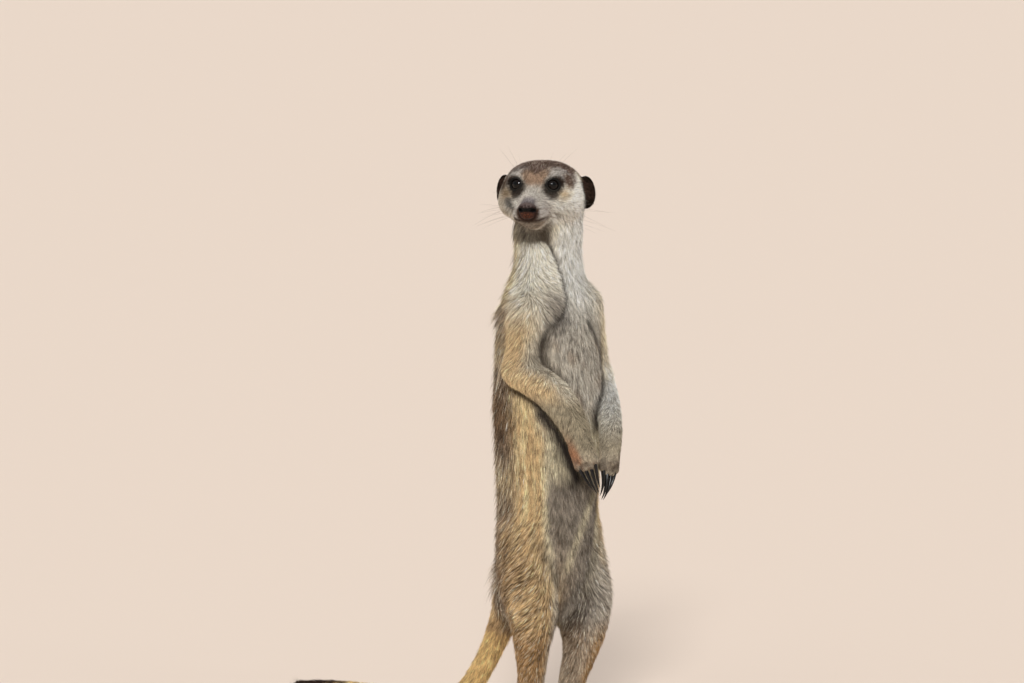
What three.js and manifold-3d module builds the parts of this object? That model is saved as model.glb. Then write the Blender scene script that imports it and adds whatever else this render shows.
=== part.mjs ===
// A meerkat standing upright on its hind feet, tail laid behind it as a prop, head turned to its right.
// Millimetres, +Z up. The animal faces -Y and its left side is +X. Sizes are to the tips of the coat.
// The trunk and the skull are drawn as rings about an axis, each ring where its field of distances is
// zero. Limbs, digits and tail are tapered tubes. Planes and neighbours cut them apart.
import * as THREE from "three";
import { mergeVertices } from "three/addons/utils/BufferGeometryUtils.js";
import Module from "manifold-3d";

const wasm = await Module();
wasm.setup();

// ---------- driving sizes ----------
const GAP = 0.3; // between neighbouring solids
const STANDING_HEIGHT = 309;
const MIDDLE = [-2.3, 70.9]; // the middle of the whole animal's box, in x and y

// Trunk and neck: [z, centre y, half width, half depth in front, half depth behind]
const TRUNK = [
  [52, 11, 9, 8, 12], [64, 8, 21, 16, 24], [80, 3, 26.5, 22, 26], [100, 0.5, 27.8, 25.5, 27],
  [125, 0, 28, 26.5, 28], [150, 0, 28.5, 28, 29.5], [175, 0, 29, 29, 31.5], [198, 0, 28.5, 29, 30.5],
  [216, 0, 27.5, 27.5, 29.5], [232, 0, 25.2, 23.5, 27], [246, 0, 20.4, 19.8, 21.6], [258, 0, 18.4, 18.2, 18.6],
  [270, 0, 19.2, 19, 20.2], [286, -1, 17.8, 17, 17.6],
];
const TRUNK_ENDS = { hips: 112, belly: 172, chest: 246, neck: 281 }; // the top of each length
const NECK_REACH = 22; // the neck's greatest radius under the head

// The head's own frame: forward -y, left +x, up +z, origin in the middle of the skull.
const HEAD_AT = [-5.5, -1.5, STANDING_HEIGHT - 18.5];
const HEAD_YAW = -51; // degrees, to the animal's right
const SKULL = { back: 24.9, front: -42.6, middleBack: 2.5, middleFront: -4.6 };
const EYE = { at: [8.6, -18.2, 7.5], radius: 4.4 };
const EAR = { at: [22.2, 9.6, 1.2], radii: [5.6, 3.2, 9.1], turn: [0, -4, 32] };
const EAR_BOWL = { at: [23.4, 7.2, 1.2], radii: [4, 2.4, 7.2], turn: [0, -4, 32] };
const NOSE = [{ at: [0, -42.2, -3.2], radii: [5, 3.4, 3.4] }, { at: [0, -41.4, -6.2], radii: [3.4, 3, 3.2] }];

// Limbs and tail: each station is [x, y, z, radius]
const ARMS = {
  right: {
    upper: [[-18.5, -6, 227, 11.5], [-25, -9.5, 211, 10], [-28.6, -12, 198, 8.8]],
    lower: [[-28.6, -12, 198, 8.8], [-19.8, -27.6, 186, 9], [-13.6, -38, 169, 7.2], [-10.8, -43, 153, 5.4]],
    backOfHand: [-0.8, -0.6, 0],
  },
  left: {
    upper: [[18.8, -6.2, 229.5, 11.8], [23.8, -5.6, 208, 10], [28.9, -5.8, 190, 8.6]],
    lower: [[28.9, -5.8, 190, 8.6], [22.5, -22, 177, 7], [11.7, -38.8, 163, 6], [7.7, -42.2, 149, 5.3]],
    backOfHand: [0.1, -0.99, 0],
  },
};
const FINGERS = { lengths: [4.5, 6.5, 6.5, 5], pitch: 3, splay: 1.1, radius: 2.4, root: 5 };
const HAND_CLAW = { length: 17.5, radius: 1.4, tip: 0.5, curl: 42, lift: 0.25, draw: 0.045 };

const LEGS = {
  right: {
    stations: [[-16.4, -1, 104, 15], [-17.4, -4, 86, 15.8], [-18.5, -9, 68, 13.9], [-18.5, -9.5, 57, 11.8],
      [-18.5, -8.6, 46, 9.7], [-18.3, -8.2, 34.5, 8], [-18, -6.6, 25, 6.9], [-18, -3.5, 13, 6.5]],
    toeOut: -4,
  },
  left: {
    stations: [[16.4, -2, 104, 15], [18.2, -4.5, 88, 16], [20.5, -6.7, 73, 15.2], [20.5, -5.8, 57, 13.6],
      [19.5, -6, 47, 11.2], [18.5, -4.4, 37.5, 9.2], [17.5, -0.4, 25.5, 7.4], [17, 2, 13, 6.6]],
    toeOut: 6,
  },
};
const KNEE_Z = 66;
const ANKLE_Z = 19;
const FOOT = { heelBack: 5.5, heel: 6, ball: 29, ballRadius: 4.9, breadth: 1.32, sole: -0.5 };
const TOES = { lengths: [11, 14, 14, 11.5], pitch: 3.9, splay: 1.25, radius: 2.9, root: 7 };
const FOOT_CLAW = { length: 8, radius: 1.3, tip: 0.5, curl: 26, height: 3.8 };

const TAIL = [
  [0, 21, 80, 12], [0, 29, 68, 10.5], [0, 34, 59, 8.8], [-1, 38.5, 50.5, 7.4], [-1.5, 44.5, 40, 6.6],
  [-2, 51, 30, 6.3], [-3, 58, 20, 6.2], [-4, 68, 11.2, 6], [-6, 84, 6.2, 5.9], [-9, 104, 5.3, 5.7],
  [-13, 140, 5, 5.4], [-16, 170, 4.4, 4.8], [-17, 194, 3.2, 3.6],
];
const TAIL_ENDS = { base: 60, middle: 128 }; // the y at which these lengths end

// ---------- fields of distance ----------
const { min, max, hypot, abs, cos, sin, sqrt, floor } = Math;
const radians = THREE.MathUtils.degToRad;
const vec = (a) => new THREE.Vector3(a[0], a[1], a[2]);

function smoothMin(a, b, k) {
  const h = max(k - abs(a - b), 0) / k;
  return min(a, b) - (h * h * k) / 4;
}
const smoothMax = (a, b, k) => -smoothMin(-a, -b, k);

// A row at a place among given rows, by a cubic through them.
function rowAt(rows, places, at) {
  const last = places.length - 1;
  const along = min(max(at, places[0]), places[last]);
  let i = 0;
  while (i < last - 1 && places[i + 1] < along) i++;
  const h = places[i + 1] - places[i];
  const t = (along - places[i]) / h;
  const slope = (j, c) => (rows[j + 1][c] - rows[j][c]) / (places[j + 1] - places[j]);
  const slopeAt = (j, c) => {
    if (j === 0) return slope(0, c);
    return j === last ? slope(last - 1, c) : (slope(j - 1, c) + slope(j, c)) / 2;
  };
  return rows[i].map((a, c) =>
    (2 * t ** 3 - 3 * t ** 2 + 1) * a + (t ** 3 - 2 * t ** 2 + t) * h * slopeAt(i, c) +
    (3 * t ** 2 - 2 * t ** 3) * rows[i + 1][c] + (t ** 3 - t ** 2) * h * slopeAt(i + 1, c));
}

const turned = (turn) => new THREE.Matrix4().makeRotationFromEuler(new THREE.Euler(...turn.map(radians), "ZYX"));

function ellipse(dx, dy, a, b) {
  const k0 = hypot(dx / a, dy / b);
  const k1 = hypot(dx / a ** 2, dy / b ** 2);
  return k1 > 1e-9 ? (k0 * (k0 - 1)) / k1 : -min(a, b);
}

function ellipsoid([x, y, z], [cx, cy, cz], [rx, ry, rz]) {
  const [dx, dy, dz] = [x - cx, y - cy, z - cz];
  const k0 = hypot(dx / rx, dy / ry, dz / rz);
  const k1 = hypot(dx / rx ** 2, dy / ry ** 2, dz / rz ** 2);
  return k1 > 1e-9 ? (k0 * (k0 - 1)) / k1 : -min(rx, ry, rz);
}

function cone([x, y, z], a, b) {
  const [dx, dy, dz] = [b[0] - a[0], b[1] - a[1], b[2] - a[2]];
  const [px, py, pz] = [x - a[0], y - a[1], z - a[2]];
  const t = min(max((px * dx + py * dy + pz * dz) / (dx * dx + dy * dy + dz * dz), 0), 1);
  return hypot(px - t * dx, py - t * dy, pz - t * dz) - (a[3] + (b[3] - a[3]) * t);
}

const trunkHeights = TRUNK.map((row) => row[0]);
function trunk([x, y, z]) {
  const [, centre, width, front, behind] = rowAt(TRUNK, trunkHeights, z);
  const side = ellipse(x, y - centre, width, y < centre ? front : behind);
  return smoothMax(smoothMax(side, trunkHeights[0] - z, 8), z - trunkHeights.at(-1), 6);
}

function skull([x, y, z]) {
  const p = [x, y, z];
  const pair = [sqrt(x * x + 4), y, z]; // both sides at once, with no crease in the middle
  let d = smoothMin(ellipsoid(p, [0, 3, 2.5], [21.7, 22, 16.5]), ellipsoid(pair, [7.5, -11.5, 5.5], [11, 11.5, 9.6]), 7);
  d = smoothMin(d, ellipsoid(pair, [6.8, 1, 8], [11.5, 16, 9.5]), 3); // temples
  d = smoothMin(d, ellipsoid(pair, [12.6, -6, -3.4], [10.2, 13, 9.4]), 6); // cheeks
  d = smoothMin(d, cone(p, [0, -18, -1, 9.6], [0, -37, -4, 5.8]), 6); // muzzle
  d = smoothMin(d, ellipsoid(pair, [4.8, -32.5, -7.2], [5.1, 9, 4.8]), 3.5); // whisker pads
  d = smoothMin(d, cone(p, [0, -4, -9, 10.5], [0, -31, -10.4, 4.9]), 4); // lower jaw
  return smoothMax(d, -ellipsoid(pair, [11.6, -27.2, 6.8], [7.2, 8, 5.6]), 4); // hollows before the eyes
}

const yaw = radians(HEAD_YAW);
function toHead([x, y, z]) {
  const [px, py] = [x - HEAD_AT[0], y - HEAD_AT[1]];
  return [px * cos(yaw) + py * sin(yaw), py * cos(yaw) - px * sin(yaw), z - HEAD_AT[2]];
}
const headPlace = new THREE.Matrix4().makeRotationZ(yaw).setPosition(...HEAD_AT);
const fromHead = (p) => vec(p).applyMatrix4(headPlace);
const core = (p) => smoothMin(trunk(p), skull(toHead(p)), 8);

// ---------- solids ----------
function solid(positions, faces) {
  return new wasm.Manifold(new wasm.Mesh({
    numProp: 3, vertProperties: new Float32Array(positions), triVerts: new Uint32Array(faces),
  }));
}

// A closed skin over rings of points, with a point at each end. Rings turn to the left about the way
// from first to last.
function skinned(rings, first, last) {
  const sides = rings[0].length;
  const positions = [...rings.flat(), first, last].flatMap((p) => p.toArray());
  const firstAt = rings.length * sides;
  const faces = [];
  for (let v = 0; v < sides; v++) {
    const w = (v + 1) % sides;
    faces.push(firstAt, w, v, firstAt + 1, (rings.length - 1) * sides + v, (rings.length - 1) * sides + w);
    for (let r = 0; r < rings.length - 1; r++) {
      const [a, b, c, d] = [r * sides + v, r * sides + w, (r + 1) * sides + v, (r + 1) * sides + w];
      faces.push(a, b, d, a, d, c);
    }
  }
  return solid(positions, faces);
}

// How far from a point, in a direction, the field's zero is.
function reach(field, from, direction, most) {
  let [inside, outside] = [0, most];
  for (let turn = 0; turn < 22; turn++) {
    const middle = (inside + outside) / 2;
    const p = from.map((v, c) => v + direction[c] * middle);
    if (field(p) < 0) inside = middle;
    else outside = middle;
  }
  return inside;
}

// A tube through stations, with round ends. grow makes it fatter all over, breadth wider across.
const ROUND_END = [radians(58), radians(28)]; // how far round an end its rings are
const BLUNT_END = [radians(45)];
function tube(stations, sides, steps, { grow = 0, breadth = 1, across = [1, 0, 0], end = ROUND_END } = {}) {
  const lengths = [0];
  stations.slice(1).forEach((s, i) => lengths.push(lengths[i] + vec(s).distanceTo(vec(stations[i]))));
  const at = (s) => rowAt(stations, lengths, s);
  const total = lengths.at(-1);
  const ring = (s, shrink, ahead) => {
    const here = at(s);
    const way = vec(at(min(s + 1, total))).sub(vec(at(max(s - 1, 0)))).normalize();
    const up = new THREE.Vector3().crossVectors(way, vec(across)).normalize();
    const out = new THREE.Vector3().crossVectors(up, way);
    const radius = here[3] + grow;
    const centre = vec(here).addScaledVector(way, ahead * radius);
    if (!shrink) return centre;
    return Array.from({ length: sides }, (_, v) => {
      const angle = (2 * Math.PI * v) / sides;
      const [a, b] = [radius * shrink * breadth * cos(angle), radius * shrink * sin(angle)];
      return centre.clone().addScaledVector(out, a).addScaledVector(up, b);
    });
  };
  const rings = [
    ...end.map((a) => ring(0, cos(a), -sin(a))),
    ...Array.from({ length: steps + 1 }, (_, i) => ring((total * i) / steps, 1, 0)),
    ...end.toReversed().map((a) => ring(total, cos(a), sin(a))),
  ];
  return outward(rings, ring(0, 0, -1), ring(total, 0, 1));
}

// Rings may turn either way; the solid's volume tells which.
function outward(rings, first, last) {
  const made = skinned(rings, first, last);
  return made.volume() > 0 ? made : skinned(rings.map((r) => r.toReversed()), first, last);
}

function egg({ at, radii, turn = [0, 0, 0] }, grow = 0, detail = 11) {
  const ball = new THREE.SphereGeometry(1, detail, floor(detail * 0.7));
  ball.deleteAttribute("normal");
  ball.deleteAttribute("uv");
  const merged = mergeVertices(ball, 1e-5);
  merged.applyMatrix4(new THREE.Matrix4().makeScale(...radii.map((r) => r + grow)));
  merged.applyMatrix4(turned(turn)).translate(...at);
  merged.applyMatrix4(headPlace);
  return solid(merged.attributes.position.array, merged.index.array);
}

const mirrored = ({ at, radii, turn = [0, 0, 0] }, side) =>
  ({ at: [at[0] * side, at[1], at[2]], radii, turn: [turn[0], turn[1] * side, turn[2] * side] });

const largest = (made) => made.decompose().reduce((a, b) => (b.volume() > a.volume() ? b : a));

// What lies between two parallel planes, each half a gap in.
function slice(made, normal, from, to) {
  const n = vec(normal).normalize();
  let kept = made;
  if (Number.isFinite(from)) kept = kept.trimByPlane(n.toArray(), from + GAP / 2);
  if (Number.isFinite(to)) kept = kept.trimByPlane(n.negate().toArray(), GAP / 2 - to);
  return largest(kept);
}

const onFloor = (made) => made.trimByPlane([0, 0, 1], 0);

// A claw: a five-sided cone bent from forward towards under.
function claw(root, forward, under, { length, radius, tip, curl }, grow = 0) {
  const [sides, steps, buried] = [5, 3, 2 + grow];
  const side = new THREE.Vector3().crossVectors(forward, under).normalize();
  const centre = root.clone().addScaledVector(forward, -buried);
  const start = centre.clone();
  const rings = [];
  for (let s = 0; s <= steps; s++) {
    const bend = radians(curl) * (s / steps);
    const heading = forward.clone().multiplyScalar(cos(bend)).addScaledVector(under, sin(bend));
    const up = new THREE.Vector3().crossVectors(side, heading);
    const r = radius + (tip - radius) * (s / steps) + grow;
    if (s) centre.addScaledVector(heading, (length + buried + grow) / steps);
    rings.push(Array.from({ length: sides }, (_, v) => {
      const angle = (2 * Math.PI * v) / sides;
      return centre.clone().addScaledVector(side, r * 0.85 * cos(angle)).addScaledVector(up, r * 1.15 * sin(angle));
    }));
  }
  return outward(rings, start, centre);
}

// ---------- materials ----------
const material = (color, roughness) => new THREE.MeshStandardMaterial({ color, roughness, metalness: 0 });
const LOOKS = {
  face: material("#c9bca4", 0.9),
  throat: material("#c8bda6", 0.9),
  back: material("#93795a", 0.9),
  limb: material("#a98d66", 0.9),
  tail: material("#b3925f", 0.9),
  tailTip: material("#3a2c20", 0.9),
  ear: material("#2e241d", 0.9),
  nose: material("#4a3126", 0.5),
  eye: material("#120d0a", 0.1),
  claw: material("#262321", 0.4),
};

// ---------- the animal ----------
const animal = new THREE.Group();
animal.position.set(-MIDDLE[0], -MIDDLE[1], 0);

function place(name, made, look) {
  const { vertProperties, numProp, numVert, triVerts } = made.getMesh();
  const positions = new Float32Array(numVert * 3);
  for (let i = 0; i < numVert; i++)
    positions.set(vertProperties.subarray(i * numProp, i * numProp + 3), i * 3);
  const geometry = new THREE.BufferGeometry()
    .setAttribute("position", new THREE.BufferAttribute(positions, 3))
    .setIndex(new THREE.BufferAttribute(triVerts, 1));
  const mesh = new THREE.Mesh(mergeVertices(geometry, 1e-4), look);
  mesh.name = name;
  animal.add(mesh);
}

const SIDES = { right: -1, left: 1 };

// The head stands clear of its eyes, ears and nose, and the neck of the whole head.
function head(grow = 0) {
  const [rings, sides] = [18, 20];
  const [middle, half] = [(SKULL.back + SKULL.front) / 2, (SKULL.back - SKULL.front) / 2];
  const centreAt = (y) => {
    const t = min(max((3 - y) / (3 - SKULL.front), 0), 1);
    return [0, y, SKULL.middleBack + (SKULL.middleFront - SKULL.middleBack) * t];
  };
  const field = (p) => skull(p) - grow;
  const made = Array.from({ length: rings }, (_, r) => {
    const centre = centreAt(middle + half * cos((Math.PI * (r + 0.6)) / (rings + 0.2)));
    return Array.from({ length: sides }, (_, v) => {
      const angle = (2 * Math.PI * v) / sides;
      const way = [cos(angle), 0, sin(angle)];
      const out = reach(field, centre, way, 40);
      return fromHead(centre.map((c, i) => c + way[i] * out));
    });
  });
  return outward(made, fromHead(centreAt(SKULL.back + grow)), fromHead(centreAt(SKULL.front - grow)));
}

function nose(grow = 0) {
  const [pad, lip] = NOSE.map((form) => egg(form, grow, 8));
  return pad.add(lip);
}

function ear(side, grow = 0) {
  return egg(mirrored(EAR, side), grow, 9).subtract(egg(mirrored(EAR_BOWL, side), -grow, 8));
}

function placeHead() {
  let flesh = head().subtract(nose(GAP));
  for (const [name, side] of Object.entries(SIDES)) {
    const eye = { at: EYE.at, radii: [EYE.radius, EYE.radius, EYE.radius] };
    flesh = flesh.subtract(egg(mirrored(eye, side), GAP)).subtract(egg(mirrored(EAR, side), GAP, 9));
    place(`eye_${name}`, egg(mirrored(eye, side)), LOOKS.eye);
    place(`ear_${name}`, ear(side), LOOKS.ear);
  }
  place("head", largest(flesh), LOOKS.face);
  place("nose", nose(), LOOKS.nose);
}

function placeArm(name) {
  const form = ARMS[name];
  const [knuckle, wrist] = [vec(form.lower.at(-1)), vec(form.lower.at(-2))];
  const [shoulder, elbow] = [vec(form.upper[0]), vec(form.lower[0])];
  const down = knuckle.clone().sub(wrist).normalize();
  const across = new THREE.Vector3().crossVectors(down, vec(form.backOfHand)).normalize();
  const back = new THREE.Vector3().crossVectors(across, down);
  const bend = elbow.clone().sub(shoulder).normalize().add(wrist.clone().sub(elbow).normalize());
  bend.normalize();
  const blunt = { across: across.toArray(), end: BLUNT_END };
  let hand = tube(form.lower.slice(-2), 10, 2, { ...blunt, breadth: 1.15 });
  const claws = FINGERS.lengths.map((length, i) => {
    const out = (i - 1.5) * FINGERS.pitch;
    const root = knuckle.clone().addScaledVector(across, out).addScaledVector(down, -FINGERS.root);
    const tip = knuckle.clone().addScaledVector(across, out * FINGERS.splay).addScaledVector(down, length);
    const stations = [root, tip].map((p) => [...p.toArray(), FINGERS.radius]);
    hand = hand.add(tube(stations, 6, 1, blunt));
    const heading = down.clone().addScaledVector(back, HAND_CLAW.lift);
    heading.addScaledVector(across, -out * HAND_CLAW.draw).normalize();
    return (grow) => claw(tip, heading, back.clone().negate(), HAND_CLAW, grow);
  });
  claws.forEach((nail, i) => {
    hand = hand.subtract(nail(GAP));
    place(`hand_claw_${name}_${i + 1}`, nail(0), LOOKS.claw);
  });
  const upper = (grow) => tube(form.upper, 11, 3, { grow });
  const lower = (grow) => tube(form.lower, 10, 5, { grow });
  const forearm = slice(lower(0), bend.toArray(), bend.dot(elbow), Infinity);
  place(`upper_arm_${name}`, slice(upper(0), bend.toArray(), -Infinity, bend.dot(elbow)), LOOKS.limb);
  place(`forearm_${name}`, slice(forearm, down.toArray(), -Infinity, down.dot(wrist)), LOOKS.limb);
  place(`hand_${name}`, slice(hand, down.toArray(), down.dot(wrist), Infinity), LOOKS.limb);
  return upper(GAP).add(lower(GAP));
}

function placeLeg(name) {
  const form = LEGS[name];
  const ankle = vec(form.stations.at(-1)).setZ(0);
  const turn = radians(form.toeOut);
  const forward = new THREE.Vector3(sin(turn), -cos(turn), 0);
  const across = new THREE.Vector3(cos(turn), sin(turn), 0);
  const station = (along, out, z, r) =>
    [...ankle.clone().addScaledVector(forward, along).addScaledVector(across, out).setZ(z).toArray(), r];
  const heel = station(-FOOT.heelBack, 0, FOOT.heel + FOOT.sole, FOOT.heel);
  const ball = station(FOOT.ball, 0, FOOT.ballRadius + FOOT.sole, FOOT.ballRadius);
  const down = new THREE.Vector3(0, 0, -1);
  const blunt = { across: across.toArray(), end: BLUNT_END };
  let foot = tube([heel, ball], 10, 2, { ...blunt, breadth: FOOT.breadth });
  foot = foot.add(tube([...form.stations.slice(-2), station(-1, 0, FOOT.heel, 6.2)], 9, 2, blunt));
  const claws = TOES.lengths.map((length, i) => {
    const out = (i - 1.5) * TOES.pitch;
    const root = station(FOOT.ball - TOES.root, out, TOES.radius + 1.2, TOES.radius + 0.4);
    const tip = station(FOOT.ball + length, out * TOES.splay, TOES.radius + FOOT.sole, TOES.radius);
    foot = foot.add(tube([root, tip], 6, 1, blunt));
    const nailRoot = vec(tip).addScaledVector(forward, TOES.radius - 1.5).setZ(FOOT_CLAW.height);
    return (grow) => onFloor(claw(nailRoot, forward, down, FOOT_CLAW, grow));
  });
  claws.forEach((nail, i) => {
    foot = foot.subtract(nail(GAP));
    place(`foot_claw_${name}_${i + 1}`, nail(0), LOOKS.claw);
  });
  const whole = (grow) => tube(form.stations, 12, 9, { grow, end: BLUNT_END });
  place(`thigh_${name}`, slice(whole(0), [0, 0, 1], KNEE_Z, Infinity), LOOKS.limb);
  place(`shank_${name}`, slice(whole(0), [0, 0, 1], ANKLE_Z, KNEE_Z), LOOKS.limb);
  place(`foot_${name}`, slice(onFloor(foot), [0, 0, 1], -GAP / 2, ANKLE_Z), LOOKS.limb);
  return whole(GAP);
}

function placeTail() {
  const whole = onFloor(tube(TAIL, 9, 22));
  place("tail_base", slice(whole, [0, 1, 0], -Infinity, TAIL_ENDS.base), LOOKS.tail);
  place("tail_middle", slice(whole, [0, 1, 0], TAIL_ENDS.base, TAIL_ENDS.middle), LOOKS.tail);
  place("tail_tip", slice(whole, [0, 1, 0], TAIL_ENDS.middle, Infinity), LOOKS.tailTip);
  return tube(TAIL, 9, 22, { grow: GAP });
}

// The trunk gives way to the limbs, the tail and the head.
function placeTrunk(neighbours) {
  const [count, sides] = [22, 18];
  const [low, high] = [trunkHeights[0] + 1, TRUNK_ENDS.neck];
  const centreAt = (z) => [0, rowAt(TRUNK, trunkHeights, z)[1], z];
  const rings = Array.from({ length: count }, (_, r) => {
    const centre = centreAt(low + ((high - low) * r) / (count - 1));
    return Array.from({ length: sides }, (_, v) => {
      const angle = (2 * Math.PI * v) / sides;
      const way = [cos(angle), sin(angle), 0];
      const most = centre[2] > TRUNK_ENDS.chest ? NECK_REACH : 45;
      return vec(centre).addScaledVector(vec(way), max(reach(core, centre, way, most), 0.5));
    });
  });
  let whole = outward(rings, vec(centreAt(low - 1)), vec(centreAt(high + 0.5)));
  for (const neighbour of neighbours) whole = whole.subtract(neighbour);
  const { hips, belly, chest } = TRUNK_ENDS;
  place("hips", slice(whole, [0, 0, 1], -Infinity, hips), LOOKS.back);
  place("belly", slice(whole, [0, 0, 1], hips, belly), LOOKS.back);
  place("chest", slice(whole, [0, 0, 1], belly, chest), LOOKS.throat);
  place("neck", slice(whole, [0, 0, 1], chest, Infinity), LOOKS.throat);
}

placeHead();
const limbs = [placeArm("right"), placeArm("left"), placeLeg("right"), placeLeg("left"), placeTail()];
placeTrunk([...limbs, head(GAP)]);

export default animal;
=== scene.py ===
# A meerkat standing upright on its hind feet. The skin is one surface, drawn from a field of distances
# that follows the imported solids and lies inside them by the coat's depth. The coat is hair over it.
import math
from functools import partial

import bmesh
import bpy
import numpy as np
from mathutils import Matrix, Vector


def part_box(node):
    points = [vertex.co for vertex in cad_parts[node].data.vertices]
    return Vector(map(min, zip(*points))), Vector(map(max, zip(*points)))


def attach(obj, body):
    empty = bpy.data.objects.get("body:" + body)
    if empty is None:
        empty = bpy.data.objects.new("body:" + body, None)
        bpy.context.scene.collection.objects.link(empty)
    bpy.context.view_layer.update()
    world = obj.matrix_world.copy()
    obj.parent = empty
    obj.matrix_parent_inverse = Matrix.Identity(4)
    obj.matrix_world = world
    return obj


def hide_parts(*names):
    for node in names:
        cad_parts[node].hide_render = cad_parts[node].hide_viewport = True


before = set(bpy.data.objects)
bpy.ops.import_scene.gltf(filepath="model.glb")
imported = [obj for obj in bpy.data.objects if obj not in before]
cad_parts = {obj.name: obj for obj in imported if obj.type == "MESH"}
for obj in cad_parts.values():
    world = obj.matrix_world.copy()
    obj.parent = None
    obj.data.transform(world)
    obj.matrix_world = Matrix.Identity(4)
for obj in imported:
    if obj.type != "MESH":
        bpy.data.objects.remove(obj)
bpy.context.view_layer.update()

SEED = 20

# ---------------------------------------------------------------- small tools
def row(*values):
    """Numbers, or rows of numbers, as an array."""
    return np.array(values, float)


def columns(*values):
    """Values side by side, a column each. A single number fills its column."""
    return np.stack(np.broadcast_arrays(*values), 1)


def linear(hex_colour):
    """An sRGB hex colour as linear red, green and blue."""
    s = np.array([int(hex_colour[i:i + 2], 16) for i in (1, 3, 5)]) / 255
    return np.where(s <= 0.04045, s / 12.92, ((s + 0.055) / 1.055) ** 2.4)


def hues(**named):
    """Named sRGB hex colours, as linear ones."""
    return {name: linear(value) for name, value in named.items()}


def unit(v):
    return v / np.maximum(np.linalg.norm(v, axis=-1, keepdims=True), 1e-9)


def ramp(x, low, high):
    """0 below low, 1 above high, smooth between. Low may be above high."""
    t = np.clip((x - low) / (high - low), 0, 1)
    return t * t * (3 - 2 * t)


def blob(x, size):
    """A soft bump: 1 where x is 0, and almost nothing at twice the size."""
    return np.exp(-(x / size) ** 2)


def noise(p, size, seed, layers=5):
    """Smooth noise: a few sines in turned directions, about one swell per given size."""
    rng = np.random.default_rng(seed)
    total = np.zeros(len(p))
    for _ in range(layers):
        way = unit(rng.normal(size=3)) * rng.uniform(0.7, 1.5) * 2 * math.pi / size
        total += np.sin(p @ way + rng.uniform(0, 2 * math.pi))
    return total / math.sqrt(layers / 2)


def smooth_min(a, b, k):
    """The lesser of two distances, with the crease between them rounded over a width k."""
    h = np.maximum(k - np.abs(a - b), 0) / k
    return np.minimum(a, b) - h * h * k / 4


def smooth_max(a, b, k):
    return -smooth_min(-a, -b, k)


def once_round(count):
    """Angles evenly once round."""
    return np.arange(count) * 2 * math.pi / count


def turn_share(a, b):
    """How far round a point is, from 0 to 1, by its two measures across the axis."""
    return np.arctan2(a, b) / (2 * math.pi) + 0.5


# ---------------------------------------------------------------- forms
def turned(x=0, y=0, z=0):
    """A turn by degrees about x, then y, then z."""
    x, y, z = (math.radians(v) for v in (x, y, z))
    rx = row([1, 0, 0], [0, math.cos(x), -math.sin(x)], [0, math.sin(x), math.cos(x)])
    ry = row([math.cos(y), 0, math.sin(y)], [0, 1, 0], [-math.sin(y), 0, math.cos(y)])
    rz = row([math.cos(z), -math.sin(z), 0], [math.sin(z), math.cos(z), 0], [0, 0, 1])
    return rz @ ry @ rx


def cone(p, a, b):
    """A round-ended cone between two stations of x, y, z and radius."""
    a, b = row(*a), row(*b)
    way = b[:3] - a[:3]
    t = np.clip((p - a[:3]) @ way / (way @ way), 0, 1)
    return np.linalg.norm(p - a[:3] - t[:, None] * way, axis=1) - (a[3] + (b[3] - a[3]) * t)


def oval_distance(ratio, slope, inner):
    """About how far a point is outside an oval: its lengths over the radii, and over the radii squared."""
    return np.where(slope > 1e-9, ratio * (ratio - 1) / np.maximum(slope, 1e-9), -inner)


def egg(p, at, radii, turn=None):
    q = p - row(*at)
    if turn is not None:
        q = q @ turned(*turn)
    r = row(*radii)
    return oval_distance(np.linalg.norm(q / r, axis=1), np.linalg.norm(q / (r * r), axis=1), r.min())


def between(rows, places, count):
    """Rows at even places among the given ones, by a cubic through them."""
    rows, places = row(*rows), row(*places)
    steps = np.diff(rows, axis=0) / np.diff(places)[:, None]
    slopes = np.concatenate([steps[:1], (steps[1:] + steps[:-1]) / 2, steps[-1:]])
    at = np.linspace(places[0], places[-1], count)
    i = np.clip(np.searchsorted(places, at, side="right") - 1, 0, len(places) - 2)
    h = (places[i + 1] - places[i])[:, None]
    t = (at[:, None] - places[i][:, None]) / h
    made = ((2 * t**3 - 3 * t**2 + 1) * rows[i] + (t**3 - 2 * t**2 + t) * h * slopes[i]
            + (3 * t**2 - 2 * t**3) * rows[i + 1] + (t**3 - t**2) * h * slopes[i + 1])
    return at, made


def chain(stations, count):
    """A smooth line of stations through the given ones."""
    stations = row(*stations)
    steps = np.linalg.norm(np.diff(stations[:, :3], axis=0), axis=1)
    return between(stations, np.concatenate([[0], np.cumsum(steps)]), count)[1]


class Limb:
    """A tapered chain: how far points are from it, how far along it they are, and which way it runs."""

    def __init__(self, stations, count):
        self.links = chain(stations, count)
        self.ways = unit(np.gradient(self.links[:, :3], axis=0))
        radii = self.links[:, 3:].max()
        self.low = self.links[:, :3].min(0) - radii
        self.high = self.links[:, :3].max(0) + radii

    def distance(self, p):
        d = np.full(len(p), np.inf)
        for a, b in zip(self.links[:-1], self.links[1:]):
            d = np.minimum(d, cone(p, a, b))
        return d

    def along(self, p):
        """Place along the chain from 0 to 1, the point of its middle there, and its way."""
        best = np.full(len(p), np.inf)
        place = np.zeros(len(p))
        last = len(self.links) - 1
        for i in range(last):
            a, b = self.links[i, :3], self.links[i + 1, :3]
            t = np.clip((p - a) @ (b - a) / ((b - a) @ (b - a)), 0, 1)
            d = np.linalg.norm(p - a - t[:, None] * (b - a), axis=1)
            closer = d < best
            best[closer] = d[closer]
            place[closer] = (i + t[closer]) / last
        at = place * last
        i = np.minimum(at.astype(int), last - 1)
        f = (at - i)[:, None]
        middle = self.links[i, :3] * (1 - f) + self.links[i + 1, :3] * f
        return place, middle, unit(self.ways[i] * (1 - f) + self.ways[i + 1] * f)


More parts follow.
